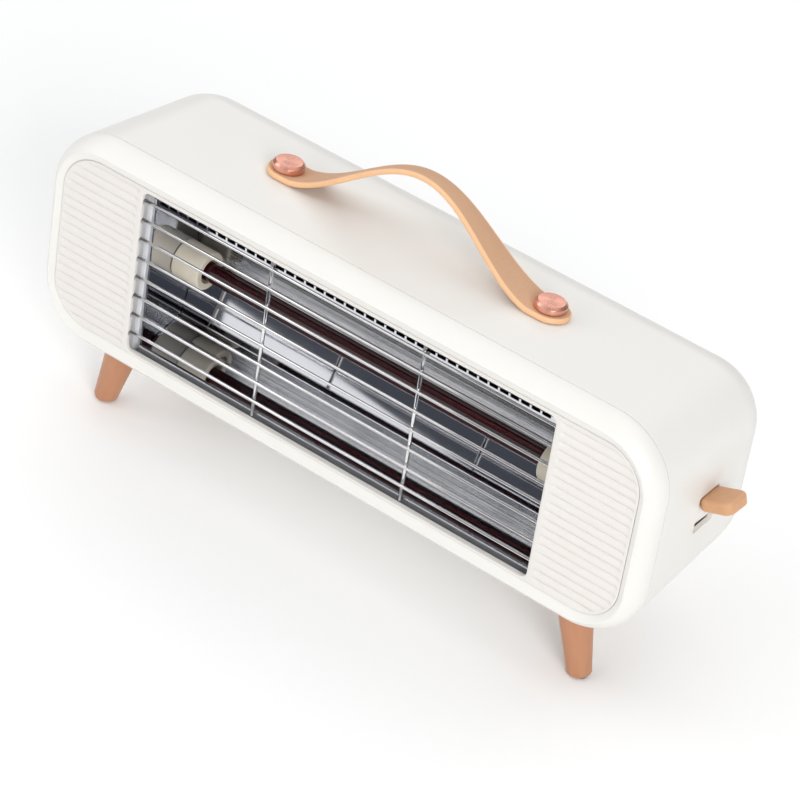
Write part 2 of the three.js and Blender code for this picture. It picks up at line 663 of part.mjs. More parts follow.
// --- Toggle lever -------------------------------------------------------------------------------
function lever() {
  const pivot = vec3(LEVER_X, LEVER_Y, LEVER_Z);
  const half = DRUM_WIDTH / 2;
  const pinHalf = half + 2.4;
  const across = reach => vec3(LEVER_X, LEVER_Y + reach, LEVER_Z);
  const drum = rod(DRUM_RADIUS, across(-half), across(half), 48);
  place('lever_drum', cut(drum, rod(PIN_RADIUS + GAP, across(-20), across(20), 20)), WHITE_PLASTIC);
  place('lever_pin', rod(PIN_RADIUS, across(-pinHalf), across(pinHalf), 20), STEEL);

  const root = DRUM_RADIUS + GAP;
  const bevel = 0.9;
  const plan = roundedRectShape(root + bevel, PADDLE_REACH - bevel, -half + bevel, half - bevel, 3.2);
  const paddle = extrude(plan, PADDLE_THICK - 2 * bevel, {
    bevelEnabled: true, bevelThickness: bevel, bevelSize: bevel, bevelSegments: 2, curveSegments: 3,
  }).translate(0, 0, bevel - PADDLE_THICK / 2).rotateY(-radians(LEVER_ANGLE)).translate(...pivot.toArray());
  place('lever_paddle', paddle, LEVER_TAN);

  const ear = half + 2 * GAP;
  const outer = ear + BRACKET_SHEET;
  const bent = (fromX, toX, fromY, toY, tall) =>
    box(fromX, toX, LEVER_Y + fromY, LEVER_Y + toY, LEVER_Z - tall, LEVER_Z + tall);
  const bracket = join(
    bent(BRACKET_X, BRACKET_X + BRACKET_SHEET, -outer, outer, 13),
    bent(BRACKET_X + 0.4, BRACKET_WALL, -outer, -ear, 7),
    bent(BRACKET_X + 0.4, BRACKET_WALL, ear, outer, 7),
    bent(BRACKET_WALL - BRACKET_SHEET, BRACKET_WALL, -outer - 6, -ear, 7),
    bent(BRACKET_WALL - BRACKET_SHEET, BRACKET_WALL, ear, outer + 6, 7));
  place('switch_bracket', cut(bracket, rod(PIN_RADIUS + GAP, across(-20), across(20), 20)), GALVANISED);

  const body = bent(BRACKET_X - GAP - 14.3, BRACKET_X - GAP, -11, 11, 11);
  const tabs = [-6, 0, 6].map(z => bent(131, 137, 10, 17, 0.4).translate(0, 0, z));
  place('switch_body', join(body, ...tabs), BLACK_PLASTIC);
}

// --- Feet ---------------------------------------------------------------------------------------
function feet() {
  const footCut = FLOOR_Z + PAD_THICK + GAP;
  for (const [word, side, foot] of FEET) {
    const frame = footFrame(side, foot);
    const tip = vec3(side * foot.tipX, foot.tipY, FLOOR_Z);
    const top = vec3(side * foot.topX, foot.topY, -topZ(foot.topY));
    const along = top.clone().sub(tip);
    const length = along.length();
    const cone = turned([
      [0, 0], [3.6, 0], [5.1, 0.9], [6, 2.6], [6.4, 5], [9.9, length + 6], [0, length + 6],
    ], tip, along, 20);
    const above = new THREE.BoxGeometry(60, 60, 40).translate(0, 0, 20 - GAP).applyMatrix4(frame);
    const below = new THREE.BoxGeometry(60, 60, 10).translate(tip.x, tip.y, footCut - 5);
    const bore = rod(SCREW_RADIUS + GAP, vec3(0, 0, -18), vec3(0, 0, 8), 12).applyMatrix4(frame);
    const stemBore = rod(1.6 + GAP, vec3(tip.x, tip.y, FLOOR_Z - 1), vec3(tip.x, tip.y, FLOOR_Z + 6), 12);
    place(`foot_${word}`, cut(cone, above, below, bore, stemBore), FOOT_TAN);
    place(`foot_pad_${word}`, turned([
      [0, 0], [PAD_RADIUS - 0.3, 0], [PAD_RADIUS, 0.3], [PAD_RADIUS, PAD_THICK],
      [1.6, PAD_THICK], [1.6, 5], [0, 5],
    ], tip, vec3(0, 0, 1), 16), DARK_RUBBER);
    const seat = WALL + GAP;
    place(`foot_screw_${word}`, turned([
      [0, -16], [SCREW_RADIUS, -15], [SCREW_RADIUS, seat], [4, seat], [4, seat + 1.4],
      [2.8, seat + 2.6], [0, seat + 2.6],
    ], vec3(0, 0, 0), vec3(0, 0, 1), 14).applyMatrix4(frame), STEEL);
  }
}

// --- Works behind the reflector -----------------------------------------------------------------
const TIP_X = -150;
const TIP_Y = 62;
const TIP_Z = -18;
const TIP_WALL = -178.6;         // inner face of the housing's side wall, less the clearance

function tipSwitch() {
  const shelf = box(TIP_WALL, TIP_X + 11, TIP_Y - 12, TIP_Y + 12, TIP_Z + 8, TIP_Z + 10);
  const flange = box(TIP_WALL, TIP_WALL + 1.4, TIP_Y - 12, TIP_Y + 12, TIP_Z + 8, TIP_Z + 30);
  const ears = [-10, 8.8].map(x =>
    box(TIP_X + x, TIP_X + x + 1.2, TIP_Y - 5, TIP_Y + 5, TIP_Z - 5, TIP_Z + 9));
  const pivot = x => vec3(TIP_X + x, TIP_Y, TIP_Z);
  place('tip_switch_frame', join(shelf, flange, ...ears, rod(1.2, pivot(-9.5), pivot(9.5), 14)), GALVANISED);
  const bob = turned([[0, -24], [5, -24], [6, -22.6], [6, -13], [2, -10], [2, -2], [0, -2]],
    vec3(TIP_X, TIP_Y, TIP_Z), vec3(0, 0, 1), 18);
  const eye = rod(3.2, pivot(-3), pivot(3), 18);
  place('tip_pendulum', cut(join(bob, eye), rod(1.5, pivot(-8), pivot(8), 14)), STEEL);
}

function electrics() {
  const cutout = join(
    rod(7, vec3(60, 78.5, 4), vec3(60, 84.5, 4), 24),
    box(49, 71, 78.5, 79.4, 1, 7));
  place('thermal_cutout', cutout, BLACK_PLASTIC);

  const block = box(60, 100, 98, DEPTH - WALL - GAP, -23, -11);
  const wells = [68, 80, 92].map(x => rod(2.4, vec3(x, 96, -17), vec3(x, 104, -17), 12));
  place('terminal_block', cut(block, ...wells), CREAM_PLASTIC);

  place('cord_gland', turned([
    [3.2, -9], [7.6, -9], [8.2, -5.2], [GLAND_RADIUS, -5.2], [GLAND_RADIUS, GAP], [9.4, GAP],
    [9, 2.4], [6.4, 4], [3.2, 4], [3.2, -9],
  ], vec3(GLAND_X, DEPTH, GLAND_Z), vec3(0, 1, 0), 18), BLACK_PLASTIC);
}

function lead(name, points) {
  const route = new THREE.CatmullRomCurve3(points.map(([x, y, z]) => vec3(x, y, z)));
  const section = new THREE.Shape().absarc(0, 0, 1.3, 0, 2 * Math.PI);
  const steps = Math.ceil(route.getLength() / 9);
  place(name, extrude(section, 1, { extrudePath: route, steps, curveSegments: 4 }), LEAD_SLEEVE);
}

function leads() {
  lead('lead_tube_left', [
    [-132, TUBE_Y, TUBE_Z], [-135, TUBE_Y + 4, TUBE_Z - 4], [-133, 54, -20], [-126, 80, -33],
    [-100, 92, -38], [-20, 96, -38], [40, 94, -33], [62, 90, -24], [68, 96.4, -17],
  ]);
  lead('lead_tube_right', [
    [132, TUBE_Y, TUBE_Z], [137, TUBE_Y - 1, TUBE_Z - 4], [139, 43, -18], [137, 52, -22], [134, 58, -13.8],
  ]);
  lead('lead_switch', [
    [134, 76.6, -1], [128, 85, -2], [110, 92, -7], [95, 92, -12], [92, 96.4, -17],
  ]);
}

housing();
bezel();
bezelScrews();
frontInsert();
wireGuard();
reflector();
SIDES.forEach(([word, side]) => reflectorEnd(`reflector_end_${word}`, side));
heatShield();
heatingTube();
handle();
lever();
feet();
tipSwitch();
electrics();
leads();

// Row frame: the middle of the heater's base, with the lever and the gland counted in.
const extent = new THREE.Box3().setFromObject(heater, true);
const middle = extent.getCenter(vec3());
heater.position.set(-middle.x, -middle.y, -extent.min.z);
heater.updateMatrixWorld(true);

const part = new THREE.Group();
part.add(heater);
export default part;
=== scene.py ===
"""Table-top radiant heater with a leather strap: surfaces, materials, studio and camera."""
import json
import math

import bmesh
import bpy
from mathutils import Matrix, Vector


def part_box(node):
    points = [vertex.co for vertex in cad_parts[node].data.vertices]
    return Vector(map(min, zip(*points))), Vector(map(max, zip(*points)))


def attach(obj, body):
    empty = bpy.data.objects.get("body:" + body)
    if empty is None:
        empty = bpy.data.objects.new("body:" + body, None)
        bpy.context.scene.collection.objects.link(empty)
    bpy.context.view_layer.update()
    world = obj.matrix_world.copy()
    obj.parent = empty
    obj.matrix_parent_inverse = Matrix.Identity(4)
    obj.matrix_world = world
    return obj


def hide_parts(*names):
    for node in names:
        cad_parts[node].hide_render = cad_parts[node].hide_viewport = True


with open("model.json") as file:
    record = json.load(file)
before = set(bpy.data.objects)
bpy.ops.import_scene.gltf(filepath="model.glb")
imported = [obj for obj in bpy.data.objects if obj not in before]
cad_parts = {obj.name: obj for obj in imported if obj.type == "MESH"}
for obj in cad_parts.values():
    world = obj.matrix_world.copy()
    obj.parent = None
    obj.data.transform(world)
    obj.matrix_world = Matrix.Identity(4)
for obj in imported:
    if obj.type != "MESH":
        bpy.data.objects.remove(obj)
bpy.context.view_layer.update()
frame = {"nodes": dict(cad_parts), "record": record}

# Driving sizes, in millimetres, in the body frame: x along the heater, y from the front rim to the
# back, z up, with x = 0 and z = 0 on the housing's centre line.
MM = 0.001
WIDTH, HEIGHT, DEPTH = 370, 123, 115
SIDE_TAPER, TOP_TAPER = 5.3, 10.8
CORNER_FRONT, CORNER_BACK = 35, 30
RIM_RADIUS, BACK_RADIUS = 15, 26
SEAM_Y, SEAM_GAP, FIT_GAP, WALL = 14.8, 0.3, 0.3, 2.6
RIM_Y = 2.25
# how far each line lies inside the housing: sides, top, bottom, and its corner radius
BEVEL_EDGE = (6.2, 7.5, 7.5, 28.3)
RECESS_EDGE = (10.2, 12.6, 12.2, 22.1)
RECESS_LIP_Y, RECESS_FLOOR_Y = 4.4, 8.2

INSERT_FRONT, INSERT_BACK, INSERT_GAP = 3.9, 6.0, 0.06
RIB_PITCH, GROOVE_DEPTH = 5, 1.3
WINDOW_HALF, WINDOW_TOP, WINDOW_BOTTOM, WINDOW_CORNER = 124.8, 46.3, -47.6, 4
PANEL_SPAN, NOTCH_RADIUS, NOTCH_LENGTH = 46.9, 1.7, 3.4

WIRE_RADIUS, WIRE_Y, WIRE_COUNT, WIRE_TOP, WIRE_STEP, WIRE_HALF = 0.85, 7.1, 8, 39.9, 11.15, 130
STAY_RADIUS, STAY_Y, STAY_HALF = 1.0, 8.7, 47.8
STAY_PLACES = (-129, -46.3, 46.3, 129)

LIP_Y, SHEET, TROUGH_HALF, FLANGE_X = 10.1, 0.8, 121.9, 124.6
SLOT_PITCH, SLOT_LENGTH, SLOT_LOW, SLOT_HIGH, SLOT_COUNT = 6.1, 5, 39.6, 41.5, 39
# the trough's section from lip to lip: y, z, bend radius, and whether the next flat is finely ridged
TROUGH = (
    (LIP_Y, 53, 0, False), (LIP_Y, 37.5, 1.0, False), (31.2, 33.9, 9.0, False), (43.3, 30.6, 7.0, False),
    (48.45, 8.7, 1.5, True), (51.6, -5.65, 1.5, True), (48.45, -20.0, 0.8, False), (43.3, -41.9, 0.8, False),
    (31.2, -45.2, 9.0, False), (13.2, -48.8, 0.6, False), (12.1, -46.3, 0.6, False),
    (LIP_Y, -46.3, 0.6, False), (LIP_Y, -53, 0, False),
)

TUBE_Y, TUBE_Z, TUBE_RADIUS, TUBE_BORE, TUBE_HALF = 39.75, -6.3, 5, 4, 114
CAP_RADIUS, CAP_INNER, CAP_OUTER = 10.3, 104.9, 121.9

HANDLE_Y, RIVET_X, RIVET_RADIUS, RIVET_HEIGHT = 58.2, 79.7, 8.2, 4.2
STRAP_WIDTH, STRAP_WAIST, STRAP_THICK = 21, 13.5, 3
STRAP_RISE, STRAP_SPAN, STRAP_TILT = 34.5, 79, 8

LEVER_X, LEVER_Y, LEVER_Z, LEVER_ANGLE = 164.2, 58.3, -1, 19
DRUM_RADIUS, DRUM_WIDTH, PADDLE_REACH, PADDLE_THICK = 17.9, 17.4, 36.7, 6.6
SLOT_HALF_HEIGHT, SLOT_HALF_WIDTH = 10.5, 9.1

FLOOR_Z, PAD_THICK = -102, 1
# side, then x and y of the top and of the tip
FEET = {
    "front_left": (-1, 140.9, 26, 151.8, 26.5),
    "front_right": (1, 140.9, 26, 151.8, 26.5),
    "back_left": (-1, 110, 75, 120, 78),
    "back_right": (1, 110, 75, 120, 78),
}
POST_X, POST_Z, POST_RADIUS, POST_FRONT, POST_BACK = 160.5, 35.5, 4.4, 18.6, DEPTH - 12
SCREW_BORE, HEAD_BORE, HEAD_SEAT = 1.9, 3.3, 32
VENT_PITCH, VENT_COUNT, VENT_WIDTH, VENT_LENGTH, VENT_START = 9, 17, 3, 38, -120
GLAND_X, GLAND_Z, GLAND_RADIUS = 118, -10, 6
SLOPE = math.atan(TOP_TAPER / DEPTH)

shell_low, shell_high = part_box("rear_shell")
ORIGIN = Vector((
    (shell_low.x + shell_high.x) / 2,
    shell_high.y - DEPTH * MM,
    (shell_low.z + shell_high.z) / 2,
))
TO_ROW = Matrix.Translation(ORIGIN) @ Matrix.Scale(MM, 4)


# --- Shader writing ---
class Value:
    """A number that changes over a surface. Arithmetic on it adds Math nodes."""

    def __init__(self, finish, socket):
        self.finish = finish
        self.socket = socket

    def _with(self, operation, first, second=None):
        sockets = {0: first} if second is None else {0: first, 1: second}
        return self.finish.node("ShaderNodeMath", {"operation": operation}, sockets, out="Value")

    def __add__(self, other):
        return self._with("ADD", self, other)

    def __sub__(self, other):
        return self._with("SUBTRACT", self, other)

    def __rsub__(self, other):
        return self._with("SUBTRACT", other, self)

    def __mul__(self, other):
        return self._with("MULTIPLY", self, other)

    def sine(self):
        return self._with("SINE", self)

    def absolute(self):
        return self._with("ABSOLUTE", self)

    def above(self, level):
        return self._with("GREATER_THAN", self, level)

    __radd__ = __add__
    __rmul__ = __mul__


class Finish:
    """One material: a Principled shader and the nodes that feed it."""

    def __init__(self, name, **constants):
        self.material = bpy.data.materials.new(name)
        self.material.use_nodes = True
        self.tree = self.material.node_tree
        self.shader = self.tree.nodes["Principled BSDF"]
        for label, value in constants.items():
            socket = label.replace("_", " ").title().replace("Ior", "IOR")
            self.shader.inputs[socket].default_value = value

    def node(self, kind, settings=None, sockets=None, out=None):
        made = self.tree.nodes.new(kind)
        for label, value in (settings or {}).items():
            setattr(made, label, value)
        for label, value in (sockets or {}).items():
            self.feed(made.inputs[label], value)
        return Value(self, made.outputs[out if out is not None else 0])

    def feed(self, socket, value):
        if isinstance(value, Value):
            self.tree.links.new(value.socket, socket)
        else:
            socket.default_value = value

    def place(self, stretch=(1, 1, 1)):
        """The piece's own coordinates in millimetres, divided by stretch on each axis."""
        where = self.node("ShaderNodeTexCoord", out="Object")
        scale = tuple(1000 / size for size in stretch)
        return self.node("ShaderNodeMapping", None, {"Vector": where, "Scale": scale})

    def noise(self, size, detail=2, stretch=(1, 1, 1), roughness=0.5):
        """Soft noise, with features about size millimetres across."""
        sockets = {"Vector": self.place(tuple(size * s for s in stretch)), "Scale": 1.0, "Detail": detail,
                   "Roughness": roughness}
        return self.node("ShaderNodeTexNoise", None, sockets, out=0)

    def cells(self, size, out="Distance"):
        """Cells about size millimetres across."""
        sockets = {"Vector": self.place((size, size, size)), "Scale": 1.0}
        return self.node("ShaderNodeTexVoronoi", None, sockets, out)

    def blend(self, factor, first, second):
        sockets = {"Factor": factor, 6: first, 7: second}
        return self.node("ShaderNodeMix", {"data_type": "RGBA"}, sockets, out=2)

    def bump(self, height, depth_mm, strength=1.0):
        sockets = {"Height": height, "Distance": depth_mm * MM, "Strength": strength}
        self.set("Normal", self.node("ShaderNodeBump", None, sockets))

    def set(self, label, value):
        self.feed(self.shader.inputs[label], value)


def hue(red, green, blue):
    """Linear colour from display values of 0 to 255."""
    def linear(level):
        share = level / 255
        return share / 12.92 if share <= 0.04045 else ((share + 0.055) / 1.055) ** 2.4
    return (linear(red), linear(green), linear(blue), 1.0)


def dimmed(colour, share):
    return tuple(level * share for level in colour[:3]) + (1.0,)


# --- Materials ---
def moulded_plastic(name, colour, roughness):
    """Moulded plastic: a fine even texture from the tool, and a faint drift in tone and gloss."""
    finish = Finish(name, specular_ior_level=0.45)
    drift = finish.noise(38, detail=2)
    finish.set("Base Color", finish.blend(drift, dimmed(colour, 0.975), colour))
    finish.set("Roughness", finish.noise(14, detail=3) * 0.08 + (roughness - 0.04))
    finish.bump(finish.noise(0.35, detail=2), 0.012, 0.6)
    return finish.material


def chrome_wire():
    """Bright plated wire with faint marks of the plating bath."""
    finish = Finish("chrome_wire", metallic=1.0)
    marks = finish.noise(3.0, detail=3, stretch=(4, 1, 1))
    finish.set("Base Color", finish.blend(marks, hue(226, 225, 226), hue(243, 242, 242)))
    finish.set("Roughness", marks * 0.08 + 0.04)
    finish.bump(finish.noise(0.9, stretch=(6, 1, 1)), 0.006, 0.2)
    return finish.material


def polished_sheet():
    """Mirror-finished sheet: faint rolling lines along it, and a trace of haze."""
    finish = Finish("polished_sheet", metallic=1.0)
    lines = finish.noise(0.5, detail=2, stretch=(160, 1, 1))
    haze = finish.noise(26, detail=2)
    finish.set("Base Color", finish.blend(haze, hue(205, 207, 212), hue(216, 217, 221)))
    finish.set("Roughness", lines * 0.03 + haze * 0.03 + 0.015)
    finish.bump(lines, 0.004, 0.05)
    return finish.material


def end_sheet():
    """The sheet of the end plates: a mirror inside the trough; beyond it, past FLANGE_X, brushed, and
    painted pale grey and nearly non-metallic as a painted reflection of the white insert edge.
    """
    finish = Finish("end_sheet", metallic=1.0)
    along = finish.node("ShaderNodeSeparateXYZ", None, {0: finish.place()}, out="X")
    painted_pale_flange = (along - ORIGIN.x * 1000).absolute().above(FLANGE_X)
    brushing = finish.noise(0.4, detail=2, stretch=(1, 1, 60))
    # painted reflection: past FLANGE_X the sheet is painted pale grey and made nearly non-metallic, so it
    # reads bright as if reflecting the white insert edge
    finish.set("Base Color", finish.blend(painted_pale_flange, hue(208, 210, 215), hue(236, 236, 238)))
    finish.set("Metallic", 1 - painted_pale_flange * 0.85)
    finish.set("Roughness", painted_pale_flange * 0.42 + brushing * 0.04 + 0.03)
    finish.bump(brushing, 0.004, 0.1)
    return finish.material


def ridged_sheet():
    """The same sheet rolled into fine ridges, which draw reflections out across them."""
    finish = Finish("ridged_sheet", metallic=1.0)
    lines = finish.noise(0.55, detail=2, stretch=(400, 1, 1))
    broad = finish.noise(2.2, detail=1, stretch=(400, 1, 1))
    finish.set("Base Color", finish.blend(lines, hue(176, 176, 176), hue(206, 205, 204)))
    finish.set("Roughness", lines * 0.12 + 0.1)
    finish.bump(lines + broad * 2, 0.22, 0.9)
    return finish.material


def zinc_sheet():
    """Galvanised sheet with its crystal spangle."""
    finish = Finish("zinc_sheet", metallic=1.0)
    spangle = finish.cells(4, out="Color")
    tone = finish.node("ShaderNodeSeparateColor", None, {"Color": spangle}, out="Red")
    finish.set("Base Color", finish.blend(tone, hue(150, 154, 160), hue(190, 193, 198)))
    finish.set("Roughness", tone * 0.2 + 0.32)
    finish.bump(finish.noise(1.2, detail=3), 0.02, 0.4)
    return finish.material


def turned_steel():
    """Plain steel hardware with fine tool marks."""
    finish = Finish("turned_steel", metallic=1.0)
    marks = finish.noise(0.5, detail=3, stretch=(1, 1, 5))
    finish.set("Base Color", finish.blend(marks, hue(150, 152, 156), hue(186, 188, 192)))
    finish.set("Roughness", marks * 0.2 + 0.25)
    finish.bump(marks, 0.015, 0.5)
    return finish.material


def fired_ceramic():
    """Cream unglazed ceramic: chalky, with pinholes and a warm drift in tone."""
    finish = Finish("fired_ceramic", specular_ior_level=0.35)
    drift = finish.noise(7, detail=3)
    specks = finish.cells(1.1).above(0.07)
    body = finish.blend(drift, hue(214, 203, 182), hue(231, 223, 206))
    finish.set("Base Color", finish.blend(specks, hue(176, 160, 136), body))
    finish.set("Roughness", drift * 0.15 + 0.5)
    finish.bump(finish.noise(0.5, detail=3), 0.03, 0.6)
    return finish.material


def ruby_glass():
    """Dark ruby quartz glass: nearly black, with brighter red drawing lines along the tube."""
    finish = Finish("ruby_glass", transmission_weight=0.3, ior=1.46, specular_ior_level=0.35)
    streaks = finish.noise(1.0, detail=3, stretch=(220, 1, 1), roughness=0.7)
    lines = streaks.above(0.6)
    finish.set("Base Color", finish.blend(lines * 0.5 + streaks * 0.35, hue(22, 2, 6), hue(112, 9, 20)))
    finish.set("Roughness", streaks * 0.05 + 0.02)
    finish.bump(streaks, 0.006, 0.1)
    return finish.material


def oxidised_wire():
    """Resistance wire, browned by heat."""
    finish = Finish("oxidised_wire", metallic=0.8)
    heat = finish.noise(2.2, detail=3)
    finish.set("Base Color", finish.blend(heat, hue(70, 58, 50), hue(128, 112, 100)))
    finish.set("Roughness", heat * 0.2 + 0.4)
    finish.bump(heat, 0.01, 0.4)
    return finish.material


def tan_leather():
    """Smooth natural leather: fine pores, small wrinkles and a warm drift in tone."""
    finish = Finish("tan_leather", specular_ior_level=0.35)
    drift = finish.noise(16, detail=3, stretch=(2, 1, 1))
    pores = finish.cells(0.42)
    wrinkles = finish.noise(0.8, detail=4, roughness=0.65)
    tone = finish.blend(drift, hue(217, 174, 140), hue(232, 192, 160))
    finish.set("Base Color", finish.blend(pores * 0.45, dimmed(hue(212, 166, 130), 0.85), tone))
    finish.set("Roughness", wrinkles * 0.2 + 0.5)
    finish.bump(pores * 0.6 + wrinkles * 0.8, 0.09, 0.9)
    return finish.material


def painted_edge():
    """Edge paint on the leather: smoother and a little brighter than the face."""
    finish = Finish("painted_edge", specular_ior_level=0.45)
    drift = finish.noise(5, detail=3, stretch=(3, 1, 1))
    finish.set("Base Color", finish.blend(drift, hue(232, 180, 134), hue(243, 197, 154)))
    finish.set("Roughness", drift * 0.15 + 0.38)
    finish.bump(finish.noise(1.1, detail=2, stretch=(2, 1, 1)), 0.03, 0.5)
    return finish.material


def spun_copper():
    """Rose copper plate with the fine rings of a turned face round the piece's own axis."""
    finish = Finish("spun_copper", metallic=1.0)
    where = finish.place()
    out_from_axis = finish.node("ShaderNodeVectorMath", {"operation": "MULTIPLY"}, {0: where, 1: (1, 1, 0)})
    radius = finish.node("ShaderNodeVectorMath", {"operation": "LENGTH"}, {0: out_from_axis}, out="Value")
    rings = (radius * 17).sine() * 0.5 + 0.5
    drift = finish.noise(4, detail=2)
    finish.set("Base Color", finish.blend(drift, hue(222, 158, 138), hue(238, 178, 160)))
    finish.set("Roughness", rings * 0.06 + drift * 0.06 + 0.2)
    finish.bump(rings, 0.035, 0.6)
    return finish.material


def tan_lacquer(name, low, high, roughness, along=(1, 1, 1)):
    """Satin tan finish with a very faint figure drawn along the piece."""
    finish = Finish(name, specular_ior_level=0.45)
    figure = finish.noise(3.5, detail=3, stretch=along)
    finish.set("Base Color", finish.blend(figure, low, high))
    finish.set("Roughness", finish.noise(9, detail=2) * 0.1 + (roughness - 0.05))
    finish.bump(finish.noise(0.5, detail=2, stretch=along), 0.015, 0.5)
    return finish.material


def soft_rubber():
    """Dark rubber with a dusty bloom."""
    finish = Finish("soft_rubber", specular_ior_level=0.3)
    bloom = finish.noise(2.5, detail=4)
    finish.set("Base Color", finish.blend(bloom, hue(34, 32, 31), hue(62, 59, 57)))
    finish.set("Roughness", bloom * 0.15 + 0.72)
    finish.bump(finish.noise(0.4, detail=3), 0.03, 0.5)
    return finish.material


def woven_sleeve():
    """Glass-fibre sleeving: diagonal bands of yarn round the lead."""
    finish = Finish("woven_sleeve", specular_ior_level=0.25)
    yarns = finish.node(
        "ShaderNodeTexWave", {"bands_direction": "DIAGONAL"},
        {"Vector": finish.place((1, 1, 1)), "Scale": 0.9, "Distortion": 1.2}, out=0)
    finish.set("Base Color", finish.blend(yarns, hue(186, 181, 170), hue(226, 222, 213)))
    finish.set("Roughness", yarns * 0.1 + 0.75)
    finish.bump(yarns, 0.12, 0.7)
    return finish.material


def studio_floor():
    """Matt white paper."""
    finish = Finish("studio_paper", specular_ior_level=0.1)
    drift = finish.noise(260, detail=2)
    finish.set("Base Color", finish.blend(drift, (0.955, 0.955, 0.95, 1), (0.965, 0.965, 0.96, 1)))
    finish.set("Roughness", drift * 0.1 + 0.85)
    finish.bump(finish.noise(2.5, detail=2), 0.02, 0.3)
    return finish.material


def dark_room():
    """Matt blue-black."""
    finish = Finish("dark_room", specular_ior_level=0.1)
    drift = finish.noise(180, detail=2)
    finish.set("Base Color", finish.blend(drift, (0.042, 0.047, 0.06, 1), (0.055, 0.06, 0.075, 1)))
    finish.set("Roughness", drift * 0.1 + 0.85)
    return finish.material


HOUSING = moulded_plastic("housing_plastic", hue(232, 230, 225), 0.42)
INSERT = moulded_plastic("insert_plastic", hue(226, 222, 217), 0.5)
BLACK = moulded_plastic("black_plastic", hue(44, 44, 46), 0.5)
CREAM = moulded_plastic("cream_plastic", hue(228, 220, 203), 0.5)
CHROME = chrome_wire()
POLISHED = polished_sheet()
RIDGED = ridged_sheet()
END_SHEET = end_sheet()
ZINC = zinc_sheet()
STEEL = turned_steel()
CERAMIC = fired_ceramic()
RUBY = ruby_glass()
COIL = oxidised_wire()
LEATHER = tan_leather()
LEATHER_EDGE = painted_edge()
COPPER = spun_copper()
LEVER_TAN = tan_lacquer("lever_lacquer", hue(205, 153, 112), hue(214, 165, 124), 0.4)
FOOT_TAN = tan_lacquer("foot_stain", hue(180, 124, 91), hue(192, 138, 103), 0.42, along=(1, 1, 9))
RUBBER = soft_rubber()
SLEEVE = woven_sleeve()


# --- Mesh helpers ---
def in_scene(name, data):
    made = bpy.data.objects.new(name, data)
    bpy.context.scene.collection.objects.link(made)
    return made


def piece(name, verts, faces, materials, body="root", replaces=(), frame_matrix=None, sharp=32,
          face_materials=None):
    """A mesh in the body frame, or in its own local frame if frame_matrix is given, in millimetres."""
    mesh = bpy.data.meshes.new(name)
    scale = TO_ROW if frame_matrix is None else Matrix.Scale(MM, 4)
    mesh.from_pydata([scale @ Vector(v) for v in verts], [], faces)
    made = in_scene(name, mesh)
    if frame_matrix is not None:
        made.matrix_world = (TO_ROW @ frame_matrix).normalized()
    for material in materials:
        mesh.materials.append(material)
    if face_materials:
        mesh.polygons.foreach_set("material_index", face_materials)
    tidy_mesh(mesh, sharp)
    bpy.context.view_layer.update()
    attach(made, body)
    if replaces:
        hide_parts(*replaces)
    return made


def tidy_mesh(mesh, sharp):
    """Faces out, smooth shading, and edges steeper than `sharp` degrees left crisp."""
    work = bmesh.new()
    work.from_mesh(mesh)
    bmesh.ops.remove_doubles(work, verts=work.verts, dist=1e-6)
    bmesh.ops.recalc_face_normals(work, faces=work.faces)
    for face in work.faces:
        face.smooth = True
    for edge in work.edges:
        edge.smooth = len(edge.link_faces) == 2 and edge.calc_face_angle(0) < math.radians(sharp)
    work.to_mesh(mesh)
    work.free()
    mesh.update()


def loft(rings, capped=True):
    """Skin over equal rings; without caps the last ring joins the first."""
    count = len(rings[0])
    spans = len(rings) - 1 if capped else len(rings)
    faces = []
    for r in range(spans):
        here, there = r * count, ((r + 1) % len(rings)) * count
        for i in range(count):
            j = (i + 1) % count
            faces.append((here + i, there + i, there + j, here + j))
    if capped:
        last = (len(rings) - 1) * count
        faces.append(tuple(range(count)))
        faces.append(tuple(last + i for i in reversed(range(count))))
    return [v for ring in rings for v in ring], faces


def lathe(profile, sides, start=(0, 0, 0), direction=(0, 0, 1)):
    """A turned piece; profile is (radius, distance along the axis). Points on the axis close it."""
    turn = Vector((0, 0, 1)).rotation_difference(Vector(direction).normalized())
    start = Vector(start)
    verts, rows, faces = [], [], []
    for radius, along in profile:
        steps = 1 if radius < 1e-6 else sides
        rows.append(range(len(verts), len(verts) + steps))
        for k in range(steps):
            angle = 2 * math.pi * k / sides
            verts.append(start + turn @ Vector((radius * math.cos(angle), radius * math.sin(angle), along)))
    for low, high in zip(rows, rows[1:]):
        for k in range(sides):
            j = k + 1
            corners = [low[k % len(low)], low[j % len(low)], high[j % len(high)], high[k % len(high)]]
            distinct = list(dict.fromkeys(corners))
            if len(distinct) > 2:
                faces.append(tuple(distinct))
    return verts, faces


def arc(centre, radius, start, end, steps):
    """Points on an arc in a profile plane, from start to end degrees."""
    return [
        (centre[0] + radius * math.cos(math.radians(start + (end - start) * k / steps)),
         centre[1] + radius * math.sin(math.radians(start + (end - start) * k / steps)))
        for k in range(steps + 1)
    ]


def rounded_rect(left, right, low, high, radius, steps=6):
    corners = [(right - radius, high - radius, 0), (left + radius, high - radius, 90),
               (left + radius, low + radius, 180), (right - radius, low + radius, 270)]
    return [p for a, b, angle in corners for p in arc((a, b), radius, angle, angle + 90, steps)]


def prism_y(outline, low, high):
    """An (x, z) outline pushed along y."""
    return loft([[(x, low, z) for x, z in outline], [(x, high, z) for x, z in outline]])


def prism_x(outline, low, high):
    """A (y, z) outline pushed along x."""
    return loft([[(low, y, z) for y, z in outline], [(high, y, z) for y, z in outline]])


def merged(parts):
    verts, faces = [], []
    for part_verts, part_faces in parts:
        faces += [tuple(i + len(verts) for i in face) for face in part_faces]
        verts += list(part_verts)
    return verts, faces


